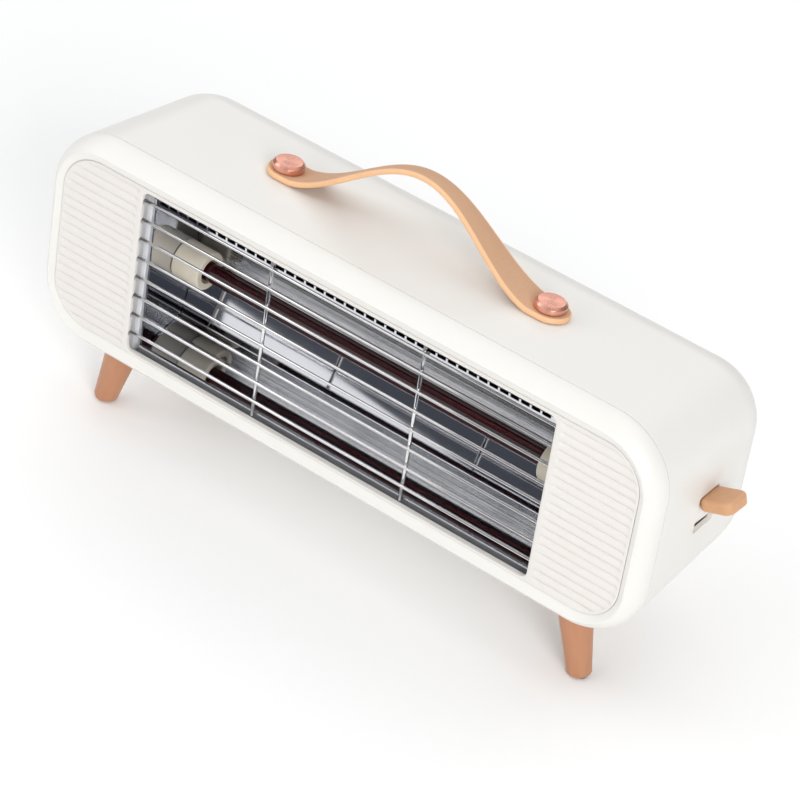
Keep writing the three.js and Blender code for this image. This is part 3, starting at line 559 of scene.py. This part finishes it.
def loose(parts):
    """A helper solid for cutting, in the row's metres."""
    verts, faces = merged(parts)
    mesh = bpy.data.meshes.new("helper")
    mesh.from_pydata([TO_ROW @ Vector(v) for v in verts], [], faces)
    work = bmesh.new()
    work.from_mesh(mesh)
    bmesh.ops.recalc_face_normals(work, faces=work.faces)
    work.to_mesh(mesh)
    work.free()
    return in_scene("helper", mesh)


def carve(target, parts, operation="DIFFERENCE"):
    """Cuts, or joins, solids in the body frame to a piece and keeps the result in its mesh."""
    tool = loose(parts)
    modifier = target.modifiers.new("carve", "BOOLEAN")
    modifier.operation = operation
    modifier.solver = "EXACT"
    modifier.use_self = True
    modifier.object = tool
    view = bpy.context.evaluated_depsgraph_get()
    result = bpy.data.meshes.new_from_object(target.evaluated_get(view))
    target.modifiers.clear()
    target.data = result
    bpy.data.objects.remove(tool)


def even_shading(target):
    """Shading normals weighted by face area, so that the large flat faces read flat."""
    modifier = target.modifiers.new("weighted_normals", "WEIGHTED_NORMAL")
    modifier.keep_sharp = True
    modifier.weight = 80


# --- Housing ---
def top_z(y):
    return HEIGHT / 2 - TOP_TAPER * y / DEPTH


def outline(y, inset, steps=18):
    """Housing outline at depth y, drawn in by inset."""
    back = y / DEPTH
    half_x = WIDTH / 2 - SIDE_TAPER * back - inset
    half_z = HEIGHT / 2 - TOP_TAPER * back - inset
    radius = CORNER_FRONT + (CORNER_BACK - CORNER_FRONT) * back - inset
    return [(x, y, z) for x, z in rounded_rect(-half_x, half_x, -half_z, half_z, radius, steps)]


def recess_outline(y, edge, extra=0, steps=18):
    """Outline drawn in unevenly, by edge = (sides, top, bottom, corner radius) and by extra all round."""
    sides, top, bottom, radius = edge
    half_x = WIDTH / 2 - SIDE_TAPER * y / DEPTH - sides - extra
    return [(x, y, z) for x, z in rounded_rect(
        -half_x, half_x, bottom + extra - top_z(y), top_z(y) - top - extra, radius - extra, steps)]


def between(first, second, share, y=None):
    """Ring part of the way from one ring to another, moved to depth y if that is given."""
    ring = [Vector(a).lerp(Vector(b), share) for a, b in zip(first, second)]
    return ring if y is None else [Vector((p.x, y, p.z)) for p in ring]


def back_rings(wall, steps):
    """Rings round the back's rounding, inside or outside the wall."""
    radius = BACK_RADIUS - wall
    rings = []
    for k in range(steps + 1):
        angle = math.pi / 2 * k / steps
        y = DEPTH - BACK_RADIUS + radius * math.sin(angle)
        rings.append(outline(y, wall + radius * (1 - math.cos(angle))))
    return rings


def surface_frame(x, y, side):
    """Frame on the sloping top (side 1) or underside (side -1), z square to it."""
    return Matrix.Translation((x, y, side * top_z(y))) @ Matrix.Rotation(-side * SLOPE, 4, "X")


def rear_shell():
    front = SEAM_Y + SEAM_GAP / 2
    edge = 0.35
    outside = [outline(front, edge), outline(front + edge * 0.3, edge * 0.3), outline(front + edge, 0)]
    outside += back_rings(0, 14)
    inside = [outline(front, WALL)] + back_rings(WALL, 6)
    verts, faces = loft(inside[::-1] + outside)
    made = piece("rear_shell_moulding", verts, faces, [HOUSING], replaces=["rear_shell"])

    posts, bores = [], []
    for x in (-POST_X, POST_X):
        for z in (-POST_Z, POST_Z):
            post = [(0, POST_FRONT), (POST_RADIUS, POST_FRONT), (POST_RADIUS, POST_BACK), (0, POST_BACK)]
            bore = [(0, 10), (SCREW_BORE, 10), (SCREW_BORE, HEAD_SEAT), (HEAD_BORE, HEAD_SEAT),
                    (HEAD_BORE, DEPTH + 5), (0, DEPTH + 5)]
            posts.append(lathe(post, 20, (x, 0, z), (0, 1, 0)))
            bores.append(lathe(bore, 24, (x, 0, z), (0, 1, 0)))
    carve(made, posts, "UNION")
    cuts = list(bores)
    for k in range(VENT_COUNT):
        x, half = VENT_START + k * VENT_PITCH, VENT_WIDTH / 2
        slot = rounded_rect(x - half, x + half, -VENT_LENGTH / 2, VENT_LENGTH / 2, half - 0.01)
        cuts.append(prism_y(slot, DEPTH - 10, DEPTH + 5))
    cuts.append(prism_x(rounded_rect(
        LEVER_Y - SLOT_HALF_WIDTH, LEVER_Y + SLOT_HALF_WIDTH,
        LEVER_Z - SLOT_HALF_HEIGHT, LEVER_Z + SLOT_HALF_HEIGHT, 1.5), LEVER_X, WIDTH / 2 + 5))
    hole = GLAND_RADIUS + FIT_GAP
    cuts.append(lathe([(0, -8), (hole, -8), (hole, 8), (0, 8)], 32, (GLAND_X, DEPTH, GLAND_Z), (0, 1, 0)))
    carve(made, cuts)
    tidy_mesh(made.data, 32)
    even_shading(made)


def front_bezel():
    rear = SEAM_Y - SEAM_GAP / 2
    tongue = WALL + FIT_GAP
    bevel, recess = recess_outline(RIM_Y, BEVEL_EDGE), recess_outline(RECESS_LIP_Y, RECESS_EDGE)
    wall = recess_outline(RECESS_FLOOR_Y, RECESS_EDGE)
    rings = [wall, between(recess, wall, 0.15, 4.95), between(recess, bevel, 0.03, 4.6)]
    steps = 8
    for k in range(1, steps):
        share = k / steps
        rings.append(between(recess, bevel, 0.03 + 0.95 * share, 4.35 - (4.35 - RIM_Y) * share ** 0.8))
    # rim: each point runs along the rounding from the bevel's edge out to the seam
    seam = outline(rear, 0)
    near = outline(RIM_Y, 0)
    for k in range(17):
        share = (1 - k / 16) ** 1.35
        ring = []
        for inner, outer, back in zip(bevel, near, seam):
            inner, outer, back = Vector(inner), Vector(outer), Vector(back)
            inset = (outer - inner).length * share
            y = RIM_RADIUS * (1 - math.sqrt(max(1 - (1 - inset / RIM_RADIUS) ** 2, 0)))
            y = min(y, rear - 0.35)
            point = outer.lerp(inner, share) + (back - outer) * ((y - RIM_Y) / (rear - RIM_Y))
            ring.append(Vector((point.x, y, point.z)))
        rings.append(ring)
    rings += [outline(y, inset) for inset, y in (
        (0.1, rear - 0.1), (0.35, rear), (tongue, rear), (tongue, 18), (tongue + 2, 18),
        (tongue + 2, RECESS_FLOOR_Y))]
    verts, faces = loft(rings, capped=False)
    made = piece("front_bezel_moulding", verts, faces, [HOUSING], replaces=["front_bezel"],
                 sharp=40)
    webs = []
    for side in (-1, 1):
        for up in (-1, 1):
            spot = (side * POST_X, 0, up * POST_Z)
            boss = [(0, 6.4), (3.6, 6.4), (3.6, 18.3), (SCREW_BORE, 18.3), (SCREW_BORE, 9.5), (0, 9.5)]
            webs.append(lathe(boss, 24, spot, (0, 1, 0)))
            webs.append(round_rod(2.6, (side * (POST_X + 2.6), 9.8, up * (POST_Z + 2.6)),
                                  (side * (POST_X + 7.5), 9.8, up * (POST_Z + 7.5))))
    carve(made, webs, "UNION")
    tidy_mesh(made.data, 40)
    even_shading(made)


# --- Ribbed insert ---
def smooth_step(low, high, x):
    share = min(max((x - low) / (high - low), 0), 1)
    return share * share * (3 - 2 * share)


def rect_inside(x, z, half_x, low, high, radius):
    """How far a point lies inside a rounded rectangle; negative outside."""
    dx = abs(x) - (half_x - radius)
    dz = abs(z - (low + high) / 2) - ((high - low) / 2 - radius)
    outside = math.hypot(max(dx, 0), max(dz, 0))
    return radius - outside - min(max(dx, dz), 0)


def insert_face(x, z, half_x, low, high, radius):
    """Depth of the insert's front face: grooves between soft ribs, and rounded edges all round."""
    to_wall = rect_inside(x, z, half_x, low, high, radius)
    from_window = -rect_inside(x, z, WINDOW_HALF, WINDOW_BOTTOM, WINDOW_TOP, WINDOW_CORNER)
    phase = abs((z / RIB_PITCH) % 1 - 0.5) * 2
    valley = phase ** 2.4
    reach = smooth_step(0.8, 2.2, to_wall) * smooth_step(2.9, 4.6, from_window)
    depth = INSERT_FRONT + GROOVE_DEPTH * valley * reach
    for distance, fillet in ((to_wall, 0.3), (from_window, 0.9)):
        near = max(0.0, fillet - max(distance, 0.0))
        depth += fillet - math.sqrt(max(fillet * fillet - near * near, 0.0))
    return depth


def spread(low, high, step, fine=(0, 0.12, 0.35, 0.7, 1.2)):
    """Places from low to high, closer together next to both ends."""
    length = high - low
    near = [f for f in fine if f < length / 2]
    count = max(1, round((length - 2 * near[-1]) / step))
    middle = [near[-1] + (length - 2 * near[-1]) * k / count for k in range(1, count)]
    return [low + s for s in near + middle + [length - f for f in reversed(near)]]


def ribbed_insert():
    rim = recess_outline(INSERT_FRONT, RECESS_EDGE, INSERT_GAP)
    half_x, lowest, highest = max(p[0] for p in rim), min(p[2] for p in rim), max(p[2] for p in rim)
    radius = RECESS_EDGE[3] - INSERT_GAP
    levels = spread(lowest, WINDOW_BOTTOM, 1.0)[:-1]
    levels += spread(WINDOW_BOTTOM, WINDOW_TOP, 0.33)[:-1]
    levels += spread(WINDOW_TOP, highest, 1.0)

    def outer(z):
        past = max(0.0, z - (highest - radius), (lowest + radius) - z)
        return half_x - radius + math.sqrt(max(radius * radius - past * past, 0.0))

    def inner(z):
        past = max(0.0, z - (WINDOW_TOP - WINDOW_CORNER), (WINDOW_BOTTOM + WINDOW_CORNER) - z)
        past = min(past, WINDOW_CORNER)
        return WINDOW_HALF - WINDOW_CORNER + math.sqrt(WINDOW_CORNER ** 2 - past ** 2)

    shares = [s / PANEL_SPAN for s in spread(0, PANEL_SPAN, 0.9)]
    verts, rows = [], []
    for z in levels:
        row = []
        for side in (-1, 1):
            strip = []
            for share in shares:
                x = side * (inner(z) + (outer(z) - inner(z)) * share)
                strip.append(len(verts))
                verts.append((x, insert_face(x, z, half_x, lowest, highest, radius), z))
            row.append(strip)
        rows.append(row)
    faces = []
    for low, high in zip(rows, rows[1:]):
        for side in (0, 1):
            for k in range(len(shares) - 1):
                faces.append((low[side][k], low[side][k + 1], high[side][k + 1], high[side][k]))
    # lips above and below the window join the two panels
    across = 40
    for first, last in ((0, levels.index(WINDOW_BOTTOM)), (levels.index(WINDOW_TOP), len(levels) - 1)):
        lip = []
        for level in range(first, last + 1):
            z = levels[level]
            row = [rows[level][0][0]]
            for k in range(1, across):
                x = -inner(z) + 2 * inner(z) * k / across
                row.append(len(verts))
                verts.append((x, insert_face(x, z, half_x, lowest, highest, radius), z))
            row.append(rows[level][1][0])
            lip.append(row)
        for low, high in zip(lip, lip[1:]):
            for k in range(across):
                faces.append((low[k], low[k + 1], high[k + 1], high[k]))
    verts, faces = thickened(verts, faces, INSERT_BACK)
    made = piece("ribbed_insert", verts, faces, [INSERT], replaces=["grille_frame"], sharp=50)
    notches = []
    for k in range(WIRE_COUNT):
        z = WIRE_TOP - k * WIRE_STEP
        for side in (-1, 1):
            notch = [(0, 0), (NOTCH_RADIUS, 0), (NOTCH_RADIUS, NOTCH_LENGTH), (0, NOTCH_LENGTH)]
            spot = (side * (WINDOW_HALF - 1), INSERT_BACK + 0.2, z)
            notches.append(lathe(notch, 20, spot, (side, 0, 0)))
    carve(made, notches)
    tidy_mesh(made.data, 50)


def thickened(verts, faces, back):
    """Closes an open front face with side walls and a flat back at depth `back`."""
    count = len(verts)
    both = list(verts) + [(x, back, z) for x, _, z in verts]
    closed = list(faces) + [tuple(i + count for i in reversed(face)) for face in faces]
    edges = {}
    for face in faces:
        for a, b in zip(face, face[1:] + face[:1]):
            edges[(a, b)] = edges.get((a, b), 0) + 1
    for a, b in edges:
        if (b, a) not in edges:
            closed.append((b, a, a + count, b + count))
    return both, closed


# --- Guard, tube and caps ---
def round_rod(radius, start, end, sides=14):
    start, end = Vector(start), Vector(end)
    length = (end - start).length
    tip = radius * 0.4
    profile = [(0, 0), (radius - tip, 0), (radius, tip), (radius, length - tip), (radius - tip, length),
               (0, length)]
    return lathe(profile, sides, start, end - start)


def wire_guard():
    rods = []
    for k in range(WIRE_COUNT):
        z = WIRE_TOP - k * WIRE_STEP
        rods.append(round_rod(WIRE_RADIUS, (-WIRE_HALF, WIRE_Y, z), (WIRE_HALF, WIRE_Y, z)))
    for x in STAY_PLACES:
        rods.append(round_rod(STAY_RADIUS, (x, STAY_Y, -STAY_HALF), (x, STAY_Y, STAY_HALF)))
    verts, faces = merged(rods)
    piece("welded_guard", verts, faces, [CHROME], replaces=["wire_guard"], sharp=50)


def bent_line(corners):
    """Points along a bent line of (y, z, bend radius, mark), each with the mark of the flat it is on."""
    points = []
    hold = 0.25
    for i, (y, z, radius, mark) in enumerate(corners):
        here = Vector((y, z))
        if not radius:
            points.append((here, mark))
            continue
        back, on = Vector(corners[i - 1][:2]) - here, Vector(corners[i + 1][:2]) - here
        turn = math.pi - back.angle(on)
        reach = min(radius * math.tan(turn / 2), back.length * 0.4, on.length * 0.4)
        start, end = here + back.normalized() * reach, here + on.normalized() * reach
        before = corners[i - 1][3]
        points.append((start + back.normalized() * hold, before))
        steps = 8
        for k in range(steps + 1):
            share = k / steps
            spot = start * (1 - share) ** 2 + here * (2 * share * (1 - share)) + end * share ** 2
            points.append((spot, mark if k == steps else before))
        points.append((end + on.normalized() * hold, mark))
    return points


def folded_reflector():
    line = bent_line(TROUGH)
    spots = [spot for spot, _ in line]
    front, back = [], []
    for i, spot in enumerate(spots):
        along = (spots[min(i + 1, len(spots) - 1)] - spots[max(i - 1, 0)]).normalized()
        front.append(spot)
        back.append(spot + Vector((-along.y, along.x)) * SHEET)
    section = front + back[::-1]
    count, spans = len(section), 12
    verts, faces, marks = [], [], []
    for j in range(spans + 1):
        x = -TROUGH_HALF + 2 * TROUGH_HALF * j / spans
        verts += [(x, p.x, p.y) for p in section]
    for j in range(spans):
        for i in range(count):
            n = (i + 1) % count
            faces.append((j * count + i, j * count + n, (j + 1) * count + n, (j + 1) * count + i))
            marks.append(1 if i < len(line) - 1 and line[i][1] else 0)
    faces += [tuple(range(count)), tuple(spans * count + i for i in reversed(range(count)))]
    marks += [0, 0]
    made = piece("folded_reflector", verts, faces, [POLISHED, RIDGED],
                 replaces=["reflector"], sharp=60, face_materials=marks)
    slots = []
    for k in range(SLOT_COUNT):
        x = (k - (SLOT_COUNT - 1) / 2) * SLOT_PITCH
        shape = rounded_rect(x - SLOT_LENGTH / 2, x + SLOT_LENGTH / 2, SLOT_LOW, SLOT_HIGH, 0.5, 3)
        slots.append(prism_y(shape, LIP_Y - 1, LIP_Y + 2))
    carve(made, slots)
    tidy_mesh(made.data, 60)
    even_shading(made)


def heating_tube():
    start = (0, TUBE_Y, TUBE_Z)
    end, tip, soft = TUBE_HALF, TUBE_HALF + 0.2, 0.3
    profile = [(TUBE_BORE, -end), (TUBE_BORE + soft, -tip), (TUBE_RADIUS - soft, -tip), (TUBE_RADIUS, -end),
               (TUBE_RADIUS, end), (TUBE_RADIUS - soft, tip), (TUBE_BORE + soft, tip), (TUBE_BORE, end),
               (TUBE_BORE, -end)]
    verts, faces = lathe(profile, 48, start, (1, 0, 0))
    piece("ruby_tube", verts, faces, [RUBY], replaces=["quartz_tube"], sharp=50)

    reach, coil_radius, wire, pitch = 108, 1.6, 0.28, 1.3
    turns = int(2 * reach / pitch)
    points = [Vector((-131, TUBE_Y, TUBE_Z)), Vector((-reach - 3, TUBE_Y, TUBE_Z))]
    for k in range(turns * 10 + 1):
        angle = 2 * math.pi * k / 10
        points.append(Vector((-reach + pitch * k / 10, TUBE_Y + coil_radius * math.cos(angle),
                              TUBE_Z + coil_radius * math.sin(angle))))
    points += [Vector((reach + 3, TUBE_Y, TUBE_Z)), Vector((131, TUBE_Y, TUBE_Z))]
    verts, faces = swept(points, [(wire * math.cos(a), wire * math.sin(a)) for a in
                                  (2 * math.pi * k / 5 for k in range(5))])
    piece("wound_coil", verts, faces, [COIL], replaces=["heating_coil"], sharp=80)

    for word, side in (("left", -1), ("right", 1)):
        inner, outer = CAP_INNER, CAP_OUTER
        profile = [
            (5.5, inner + 9), (5.5, inner + 7), (6.5, inner + 6), (6.5, inner + 0.5),
            *arc((7.0, inner + 0.5), 0.5, 180, 270, 4),
            *arc((CAP_RADIUS - 0.9, inner + 0.9), 0.9, 270, 360, 6),
            *arc((CAP_RADIUS - 0.3, outer - 0.3), 0.3, 0, 90, 3),
            (6.0, outer), (6.0, outer + 5.3), (5.8, outer + 5.5), (1.6, outer + 5.5), (1.6, TUBE_HALF + 1),
            (5.5, TUBE_HALF + 1), (5.5, inner + 9),
        ]
        verts, faces = lathe(profile, 64, start, (side, 0, 0))
        piece(f"tube_cap_{word}", verts, faces, [CERAMIC], replaces=[f"ceramic_cap_{word}"],
              sharp=40)


def swept(points, section):
    """A closed tube along points, its section carried without twist."""
    tangents = [(points[min(i + 1, len(points) - 1)] - points[max(i - 1, 0)]).normalized()
                for i in range(len(points))]
    side = tangents[0].orthogonal().normalized()
    rings = []
    for i, point in enumerate(points):
        if i:
            side = tangents[i - 1].rotation_difference(tangents[i]) @ side
        across = tangents[i].cross(side).normalized()
        rings.append([point + side * a + across * b for a, b in section])
    return loft(rings)


# --- Carrying strap ---
def arch_share(x):
    bell = 0.5 * (1 + math.cos(math.pi * min(abs(x) / STRAP_SPAN, 1)))
    return max(0.0, (bell - 0.02) / 0.98)


def strap_ring(x):
    """Rounded section of the strap at x, in the frame of the sloping top."""
    step = 0.5
    rise = STRAP_RISE * (arch_share(x + step) - arch_share(x - step))
    normal = Vector((-rise, 0, 2 * step)).normalized()
    share = arch_share(x)
    half = STRAP_WIDTH / 2 + (STRAP_WAIST - STRAP_WIDTH) / 2 * share
    past = abs(x) - RIVET_X
    if past > 0:
        half = math.sqrt(max(half * half - past * past, 0.04))
    centre = Vector((x, 0, FIT_GAP + STRAP_THICK / 2 + STRAP_RISE * share))
    soft = min(1.25, half * 0.9)
    crown = 0.16
    ring = []
    for across, up in rounded_rect(-half, half, -STRAP_THICK / 2, STRAP_THICK / 2, soft, 5):
        swell = crown * (1 - (across / half) ** 2) * (1 if up > 0 else 0)
        point = centre + normal * (up + swell - crown * (up > 0)) + Vector((0, across, 0))
        point.z -= across * math.tan(math.radians(STRAP_TILT)) * share
        ring.append(point)
    return ring


def carrying_strap():
    end = RIVET_X + STRAP_WIDTH / 2
    turn = [math.sin(math.pi / 2 * k / 12) for k in range(13)]
    tips = [RIVET_X + (end - 0.05 - RIVET_X) * t for t in turn]
    middle = [-RIVET_X + 2 * RIVET_X * k / 110 for k in range(1, 110)]
    places = [-t for t in reversed(tips)] + middle + tips
    rings = [strap_ring(x) for x in places]
    verts, faces = loft(rings)
    count = len(rings[0])
    quarter = count // 4
    marks = []
    for face in faces:
        k = face[0] % count
        marks.append(1 if len(face) > 4 or on_long_edge(k, quarter) else 0)
    piece("carrying_strap", verts, faces, [LEATHER, LEATHER_EDGE],
          replaces=["leather_strap"], frame_matrix=surface_frame(0, HANDLE_Y, 1), sharp=60,
          face_materials=marks)


def on_long_edge(k, quarter):
    """True for the section points on the two rounded long edges; the flats are between the corners."""
    return (k % quarter) != quarter - 1 or (k // quarter) % 2 == 1


def strap_hardware():
    for word, side in (("left", -1), ("right", 1)):
        seat = STRAP_THICK + 2 * FIT_GAP
        top = seat + RIVET_HEIGHT
        rim = RIVET_RADIUS
        profile = [
            (0, -9.2), (1.8, -9.2), (2, -9), (2, seat), (rim - 0.5, seat),
            *arc((rim - 0.4, seat + 0.4), 0.4, 270, 360, 4),
            (rim, top - 1.5), *arc((rim - 0.25, top - 1.5), 0.25, 0, 45, 3),
            (rim - 1.25, top - 0.25), *arc((rim - 1.45, top - 0.3), 0.3, 45, 90, 3),
            (rim * 0.55, top - 0.02), (0, top),
        ]
        verts, faces = lathe(profile, 72)
        piece(f"strap_screw_{word}_head", verts, faces, [COPPER],
              replaces=[f"strap_screw_{word}"], frame_matrix=surface_frame(side * RIVET_X, HANDLE_Y, 1),
              sharp=24)


# --- Toggle lever ---
def toggle_lever():
    half = DRUM_WIDTH / 2
    start = (LEVER_X, LEVER_Y, LEVER_Z)
    profile = [(2.5, -half), (DRUM_RADIUS - 0.4, -half), (DRUM_RADIUS, -half + 0.4),
               (DRUM_RADIUS, half - 0.4), (DRUM_RADIUS - 0.4, half), (2.5, half), (2.5, -half)]
    verts, faces = lathe(profile, 96, start, (0, 1, 0))
    piece("toggle_drum", verts, faces, [HOUSING], body="lever", replaces=["lever_drum"])

    root, tip = DRUM_RADIUS + FIT_GAP, PADDLE_REACH
    bevel, corner = 1.7, 4.3
    rings = []
    for k in range(6):
        angle = math.pi / 2 * k / 5
        rings.append((bevel * (1 - math.sin(angle)), -PADDLE_THICK / 2 + bevel * (1 - math.cos(angle))))
    rings += [(inset, -z) for inset, z in reversed(rings)]
    layers = [[(x, y, z) for x, y in rounded_rect(root + inset, tip - inset, -half + inset, half - inset,
                                                  corner - inset, 8)] for inset, z in rings]
    verts, faces = loft(layers)
    frame_matrix = Matrix.Translation(start) @ Matrix.Rotation(-math.radians(LEVER_ANGLE), 4, "Y")
    paddle = piece("toggle_paddle", verts, faces, [LEVER_TAN], body="lever",
                   replaces=["lever_paddle"], frame_matrix=frame_matrix, sharp=40)
    even_shading(paddle)


# --- Feet and gland ---
def splayed_feet():
    for word, (side, top_x, top_y, tip_x, tip_y) in FEET.items():
        tip = Vector((side * tip_x, tip_y, FLOOR_Z))
        top = Vector((side * top_x, top_y, -top_z(top_y)))
        along = top - tip
        length = along.length
        turn = Vector((0, 0, 1)).rotation_difference(along.normalized())
        spot = Matrix.Translation(tip) @ turn.to_matrix().to_4x4()
        profile = [(0, 0), (3.4, 0), *arc((3.9, 2.4), 2.4, 275, 350, 8), (6.4, 5), (9.9, length + 6),
                   (0, length + 6)]
        verts, faces = lathe(profile, 56)
        made = piece(f"splayed_foot_{word}", verts, faces, [FOOT_TAN], replaces=[f"foot_{word}"],
                     frame_matrix=spot, sharp=40)
        under = surface_frame(side * top_x, top_y, -1)
        slice_off(made, under @ Vector((0, 0, -FIT_GAP)), under.to_3x3() @ Vector((0, 0, 1)))
        slice_off(made, Vector((0, 0, FLOOR_Z + PAD_THICK + FIT_GAP)), Vector((0, 0, -1)))
        tidy_mesh(made.data, 40)


def slice_off(target, point, normal):
    """Removes what lies beyond a plane given in the body frame, and closes the cut."""
    back = target.matrix_world.inverted()
    work = bmesh.new()
    work.from_mesh(target.data)
    spot = back @ (TO_ROW @ point)
    facing = (back.to_3x3() @ normal).normalized()
    everything = work.verts[:] + work.edges[:] + work.faces[:]
    cut = bmesh.ops.bisect_plane(work, geom=everything, plane_co=spot, plane_no=facing, clear_outer=True)
    rim = [e for e in cut["geom_cut"] if isinstance(e, bmesh.types.BMEdge)]
    bmesh.ops.contextual_create(work, geom=rim)
    work.to_mesh(target.data)
    work.free()


def cord_gland():
    profile = [
        (3.2, -9), (7.6, -9), (8.2, -5.2), (GLAND_RADIUS, -5.2), (GLAND_RADIUS, FIT_GAP), (9.1, FIT_GAP),
        *arc((9.1, 0.6), 0.3, 270, 360, 3), *arc((8.2, 1.2), 1.2, 0, 80, 5), (6.4, 3.6),
        *arc((5.9, 3.3), 0.7, 30, 90, 3), *arc((3.9, 3.3), 0.7, 90, 180, 3), (3.2, -9),
    ]
    verts, faces = lathe(profile, 40, (GLAND_X, DEPTH, GLAND_Z), (0, 1, 0))
    piece("ring_gland", verts, faces, [BLACK], replaces=["cord_gland"], sharp=40)


# --- CAD pieces that stay as they are, with their finishes ---
SLOT_FINISH = {
    "housing_white": HOUSING, "insert_white": INSERT, "guard_chrome": CHROME, "reflector_polished": POLISHED,
    "galvanised_sheet": ZINC, "steel_parts": STEEL, "ceramic_cream": CERAMIC, "ruby_quartz": RUBY,
    "resistance_wire": COIL, "strap_leather": LEATHER, "copper_screws": COPPER, "lever_tan": LEVER_TAN,
    "foot_tan": FOOT_TAN, "rubber_dark": RUBBER, "black_plastic": BLACK, "cream_plastic": CREAM,
    "lead_sleeve": SLEEVE,
}


def finish_cad_pieces():
    for entry in frame["record"]["subparts"]:
        node = frame["nodes"][entry["node"]]
        own = SLOT_FINISH[entry["material_slot"]]
        if entry["node"].startswith("reflector_end"):
            own = END_SHEET
        node.data.materials.clear()
        node.data.materials.append(own)


# --- Studio ---
CAMERA_AZIMUTH, CAMERA_ELEVATION, CAMERA_ROLL = 32.024, 34.966, 9.497
CAMERA_DISTANCE, CAMERA_LENS, CAMERA_SENSOR = 1780.4, 163.78, 36
CAMERA_AIM = (0, 60, 0)
CAMERA_SLIDE = (0.892, 30.844)


def studio_camera():
    azimuth, elevation = math.radians(CAMERA_AZIMUTH), math.radians(CAMERA_ELEVATION)
    roll = math.radians(CAMERA_ROLL)
    back = Vector((math.sin(azimuth) * math.cos(elevation), -math.cos(azimuth) * math.cos(elevation),
                   math.sin(elevation)))
    level = Vector((math.cos(azimuth), math.sin(azimuth), 0))
    upright = back.cross(level)
    right = level * math.cos(roll) + upright * math.sin(roll)
    up = upright * math.cos(roll) - level * math.sin(roll)
    spot = Vector(CAMERA_AIM) - right * CAMERA_SLIDE[0] - up * CAMERA_SLIDE[1] + back * CAMERA_DISTANCE
    data = bpy.data.cameras.new("studio_camera")
    data.lens = CAMERA_LENS
    data.sensor_width = CAMERA_SENSOR
    data.clip_end = 50
    made = in_scene("studio_camera", data)
    turn = Matrix((right, up, back)).transposed().to_4x4()
    made.matrix_world = Matrix.Translation(TO_ROW @ spot) @ turn
    bpy.context.scene.camera = made


def softbox(name, place, aim, size, power):
    data = bpy.data.lights.new(name, "AREA")
    data.shape = "RECTANGLE"
    data.size, data.size_y = size
    data.energy = power
    made = in_scene(name, data)
    made.location = place
    made.rotation_euler = (Vector(aim) - Vector(place)).to_track_quat("-Z", "Y").to_euler()


def dark_table_edge():
    """The dark room past the edge of the table, seen only in the polished metal."""
    corners = ((-200, -140), (-288, -289), (300, -98.5), (1500, -98.5), (1500, -1600), (-1600, -1600),
               (-1600, -140))
    verts = [TO_ROW @ Vector((x, y, FLOOR_Z + 1)) for x, y in corners]
    mesh = bpy.data.meshes.new("dark_room")
    mesh.from_pydata(verts, [], [tuple(range(len(corners)))])
    mesh.materials.append(dark_room())
    flag = in_scene("dark_room", mesh)
    flag.visible_camera = False
    flag.visible_diffuse = False
    flag.visible_shadow = False


def studio():
    size = 8
    verts = [(-size, -size, 0), (size, -size, 0), (size, size, 0), (-size, size, 0)]
    mesh = bpy.data.meshes.new("studio_floor")
    mesh.from_pydata(verts, [], [(0, 1, 2, 3)])
    mesh.materials.append(studio_floor())
    floor = in_scene("studio_floor", mesh)

    world = bpy.data.worlds.new("studio_air")
    world.use_nodes = True
    air = world.node_tree.nodes["Background"]
    air.inputs["Color"].default_value = (0.96, 0.97, 1.0, 1)
    air.inputs["Strength"].default_value = 0.29
    bpy.context.scene.world = world

    centre = (0, 0, 0.1)
    softbox("overhead_box", (-0.4, 0.7, 2.2), centre, (4.2, 4.2), 51)
    softbox("left_box", (-2.2, -1.0, 1.5), centre, (1.4, 1.6), 14)
    softbox("right_box", (2.0, -1.6, 1.3), centre, (1.2, 1.4), 46)
    softbox("front_box", (-1.0, -2.3, 1.2), centre, (2.2, 1.2), 13)
    softbox("back_box", (-1.7, 2.9, 1.7), centre, (2.0, 1.0), 5)
    dark_table_edge()
    scene = bpy.context.scene
    scene.view_settings.view_transform = "Standard"
    scene.view_settings.look = "None"


# --- Build ---
finish_cad_pieces()
rear_shell()
front_bezel()
ribbed_insert()
wire_guard()
folded_reflector()
heating_tube()
carrying_strap()
strap_hardware()
toggle_lever()
splayed_feet()
cord_gland()
studio()
studio_camera()
